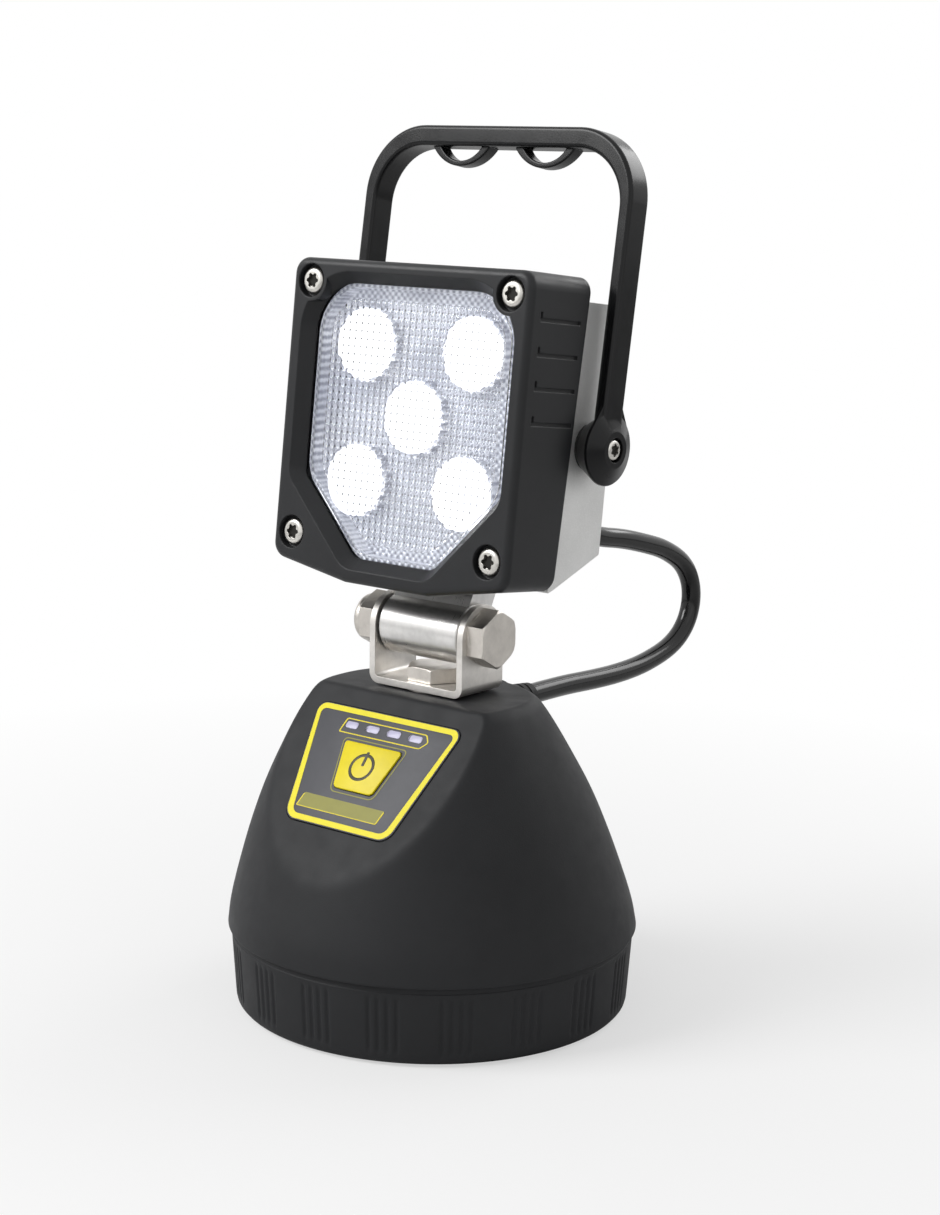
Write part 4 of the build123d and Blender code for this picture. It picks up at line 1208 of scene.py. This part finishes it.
def shining(name, colour, strength, floor_level):
    """Lit clear moulding: bright, and a little less so in fine patches."""
    finish = Finish(name, Roughness=0.25, Emission_Strength=strength)
    fine = finish.noise(700.0).step(0.3, 0.7)
    dim = tuple(c * floor_level for c in colour)
    finish.feed("Emission Color", finish.blend(fine, dim, colour))
    finish.feed("Base Color", finish.blend(fine, (0.80, 0.81, 0.84), (0.9, 0.9, 0.92)))
    return finish.material


optic_glow = shining("optic_glow", (1.0, 0.99, 0.96), 1.0, 0.92)
first = optic()
for number, (x, y) in enumerate(optic_places, 1):
    copy = copy_of(first, f"optic_{number}", (x, y, 0))
    settle(copy, face_frame)
    if number == 1:
        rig.replaces(copy, "optics")
    wear(copy, "lamp_head", "clear_plastic", optic_glow)
bpy.data.objects.remove(first)

RIDGES = math.pi / (1.2 * MM)


def plated_plate():
    """Plating on a grid of fine ridges, with a painted glow that stands in for the emitters' light on it."""
    # painted light: the plate's emission stands in for the emitters' light that it would catch
    finish = Finish("plated_plate", Metallic=0.35, Emission_Strength=0.42)
    x, _, z = finish.parts(finish.place())
    ridges = (x * RIDGES).wave() * (z * RIDGES).wave()
    speck = (ridges * 0.5 + finish.noise(900.0)).step(0.1, 0.9)
    cloud = finish.noise(60.0).step(0.4, 0.6)
    plating = finish.blend(cloud, (0.60, 0.61, 0.64), (0.49, 0.50, 0.53))
    finish.feed("Base Color", finish.blend(speck, (0.26, 0.27, 0.31), plating))
    # painted glow: bright on the ridges and dimmer between them
    painted_glow = finish.blend(cloud, (0.84, 0.855, 0.91), (0.64, 0.66, 0.73))
    finish.feed("Emission Color", finish.blend(speck, (0.22, 0.23, 0.30), painted_glow))
    finish.feed("Roughness", cloud * 0.15 + 0.30)
    finish.bump(ridges, 0.15 * MM)
    return finish.material


# a collar is added round each optic, then a well and a seat are bored: each has its radius,
# foot and top in millimetres
COLLAR, WELL, SEAT = (11.8, 14.5, 18.2), (9.9, 10, 25), (11.15, 15.6, 25)
PLATE_BACK, PLATE_FACE, PLATE_RIM = 13.6 * MM, 15.0 * MM, 19.9 * MM
reflector = window_plate("plated_plate", 0.8, PLATE_BACK, PLATE_RIM)
cut(reflector, window_plate("hollow", -1.0, PLATE_FACE, PLATE_RIM + 2 * MM))
centres = [(x / MM, y / MM) for x, y in optic_places]
for bore, operation in ((COLLAR, "UNION"), (WELL, "DIFFERENCE"), (SEAT, "DIFFERENCE")):
    cut(reflector, gathered([drill(*bore, "Z", at=place) for place in centres]), operation)
settle(reflector, face_frame, turn_out=False)
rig.replaces(reflector, "reflector_plate")
wear(reflector, "lamp_head", "reflector_bright", plated_plate())
dress(printed("white_board", (0.78, 0.78, 0.76)), "led_board")
dress(shining("phosphor", (1.0, 0.92, 0.6), 2.0, 0.8), "led_emitters")
dress(printed("circuit_board", (0.015, 0.13, 0.05), roughness=0.3), "control_board",
      "driver_board")
dress(printed("cell_wrap", (0.05, 0.20, 0.42), roughness=0.3), "battery_cells")
dress(moulded("thermal_grey", (0.25, 0.26, 0.28), 0.8), "thermal_pad")

# %% [markdown]
# ## The handle
# The strap is one black moulding whose rims are rounded where the fingers run. It could be
# swept along its arch, but an arch cut out of a rounded plate keeps the top bar thicker than
# the legs, and one bevel then rounds every rim. The two finger loops are crescents that hang
# from the bar, and a turned boss at the foot of each leg takes the hinge screw.

# %% Strap of the handle
HALF_WIDTH, TALL, DEPTH = 52.3 * MM, 95.0 * MM, 9.6 * MM
LEG, TOP_BAR = 4.5 * MM, 6.4 * MM
OUTER_CORNER, INNER_CORNER = 22.0 * MM, 17.5 * MM
# on the handle: X to the right, Y up the legs, Z to the front
handle_face = handle_frame @ Matrix.Rotation(math.radians(90), 4, "X")


def arch(name, half, bottom, top, corner, depth):
    points = [(-half, bottom), (half, bottom), (half, top), (-half, top)]
    return plate(name, points, [0, 0, corner, corner], -depth / 2, depth / 2, steps=20)


handle = arch("rounded_handle", HALF_WIDTH, 0, TALL, OUTER_CORNER, DEPTH)
cut(handle, arch("hollow", HALF_WIDTH - LEG, -5 * MM, TALL - TOP_BAR, INNER_CORNER, 2 * DEPTH))
round_edges(handle, 1.3, 4)
print("strap faces:", len(handle.data.polygons))


# %% Finger loops
LOOP_X, LOOP_HALF, LOOP_SAG, LOOP_WALL = 16.4 * MM, 11.4 * MM, 6.0 * MM, 1.7 * MM
LOOP_FOOT, LOOP_DEPTH = 3.4 * MM, 5.0 * MM


def half_moon(name, centre, sag, half, rise, depth):
    """A plate under the top bar, between an arc that sags from it and a line above."""
    radius = (half * half + sag * sag) / (2 * sag)
    spread = math.asin(half / radius)
    turns = [spread * (k / 14 - 1) for k in range(29)]
    low = TALL - TOP_BAR
    arc = [(centre + radius * math.sin(a), low - sag + radius * (1 - math.cos(a))) for a in turns]
    points = arc + [(centre + half, low + rise), (centre - half, low + rise)]
    return plate(name, points, 0, -depth / 2, depth / 2)


for side in (-1, 1):
    loop = half_moon("loop", side * LOOP_X, LOOP_SAG, LOOP_HALF, 2 * MM, LOOP_DEPTH)
    cut(loop, half_moon("hollow", side * LOOP_X, LOOP_SAG - LOOP_WALL, LOOP_HALF - LOOP_FOOT,
                        4 * MM, 2 * LOOP_DEPTH))
    round_edges(loop, 0.5, 3)
    cut(handle, loop, "UNION")


# %% Bosses of the hinge
# pairs of a place out along the hinge's line and a radius, in millimetres
BOSS = ((44.95, 7.3), (45.2, 7.6), (50.4, 10.8), (50.7, 11.0), (51.5, 11.0), (51.8, 10.8),
        (54.0, 5.8), (54.2, 5.4))
SCREW_HOLE = ((40, 2.45), (51.6, 2.45), (51.6, 3.75), (60, 3.75))
NECK_INNER, NECK_OUTER, NECK_RISE = 50.7, 51.5, 12.5


def turned(profile, side, up=0.0):
    """A solid turned about the hinge's line, or about one above it, on one side."""
    return loft("turned", [
        [Vector((side * x, up + radius * math.cos(a), radius * math.sin(a))) * MM
         for a in circle(80)] for x, radius in profile])


def neck(side):
    """The flat of the boss, drawn up to meet the leg."""
    piece = gathered([turned(((NECK_INNER, 10.9), (NECK_OUTER, 10.9)), side),
                      turned(((NECK_INNER, 4.2), (NECK_OUTER, 4.2)), side, up=NECK_RISE)])
    only(piece)
    edit()
    bpy.ops.mesh.convex_hull()
    done()
    return piece


for side in (-1, 1):
    cut(handle, neck(side), "UNION")
    cut(handle, turned(BOSS, side), "UNION")
    cut(handle, turned(SCREW_HOLE, side))
settle(handle, handle_face, turn_out=False)
modify(handle, "WEIGHTED_NORMAL", keep_sharp=True)
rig.replaces(handle, "handle")
wear(handle, "carry_handle", "handle_black", handle_black)
print("handle faces:", len(handle.data.polygons))

# %% Sizes of the engineering model and of what is shown, written to extents.json
new_low, new_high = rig.bounds()
with open("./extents.json", "w") as file:
    json.dump({
        "cad": [list(cad_low), list(cad_high)],
        "visual": [list(new_low), list(new_high)],
    }, file)
print("visual size, mm:", [round(x / MM, 1) for x in new_high - new_low])
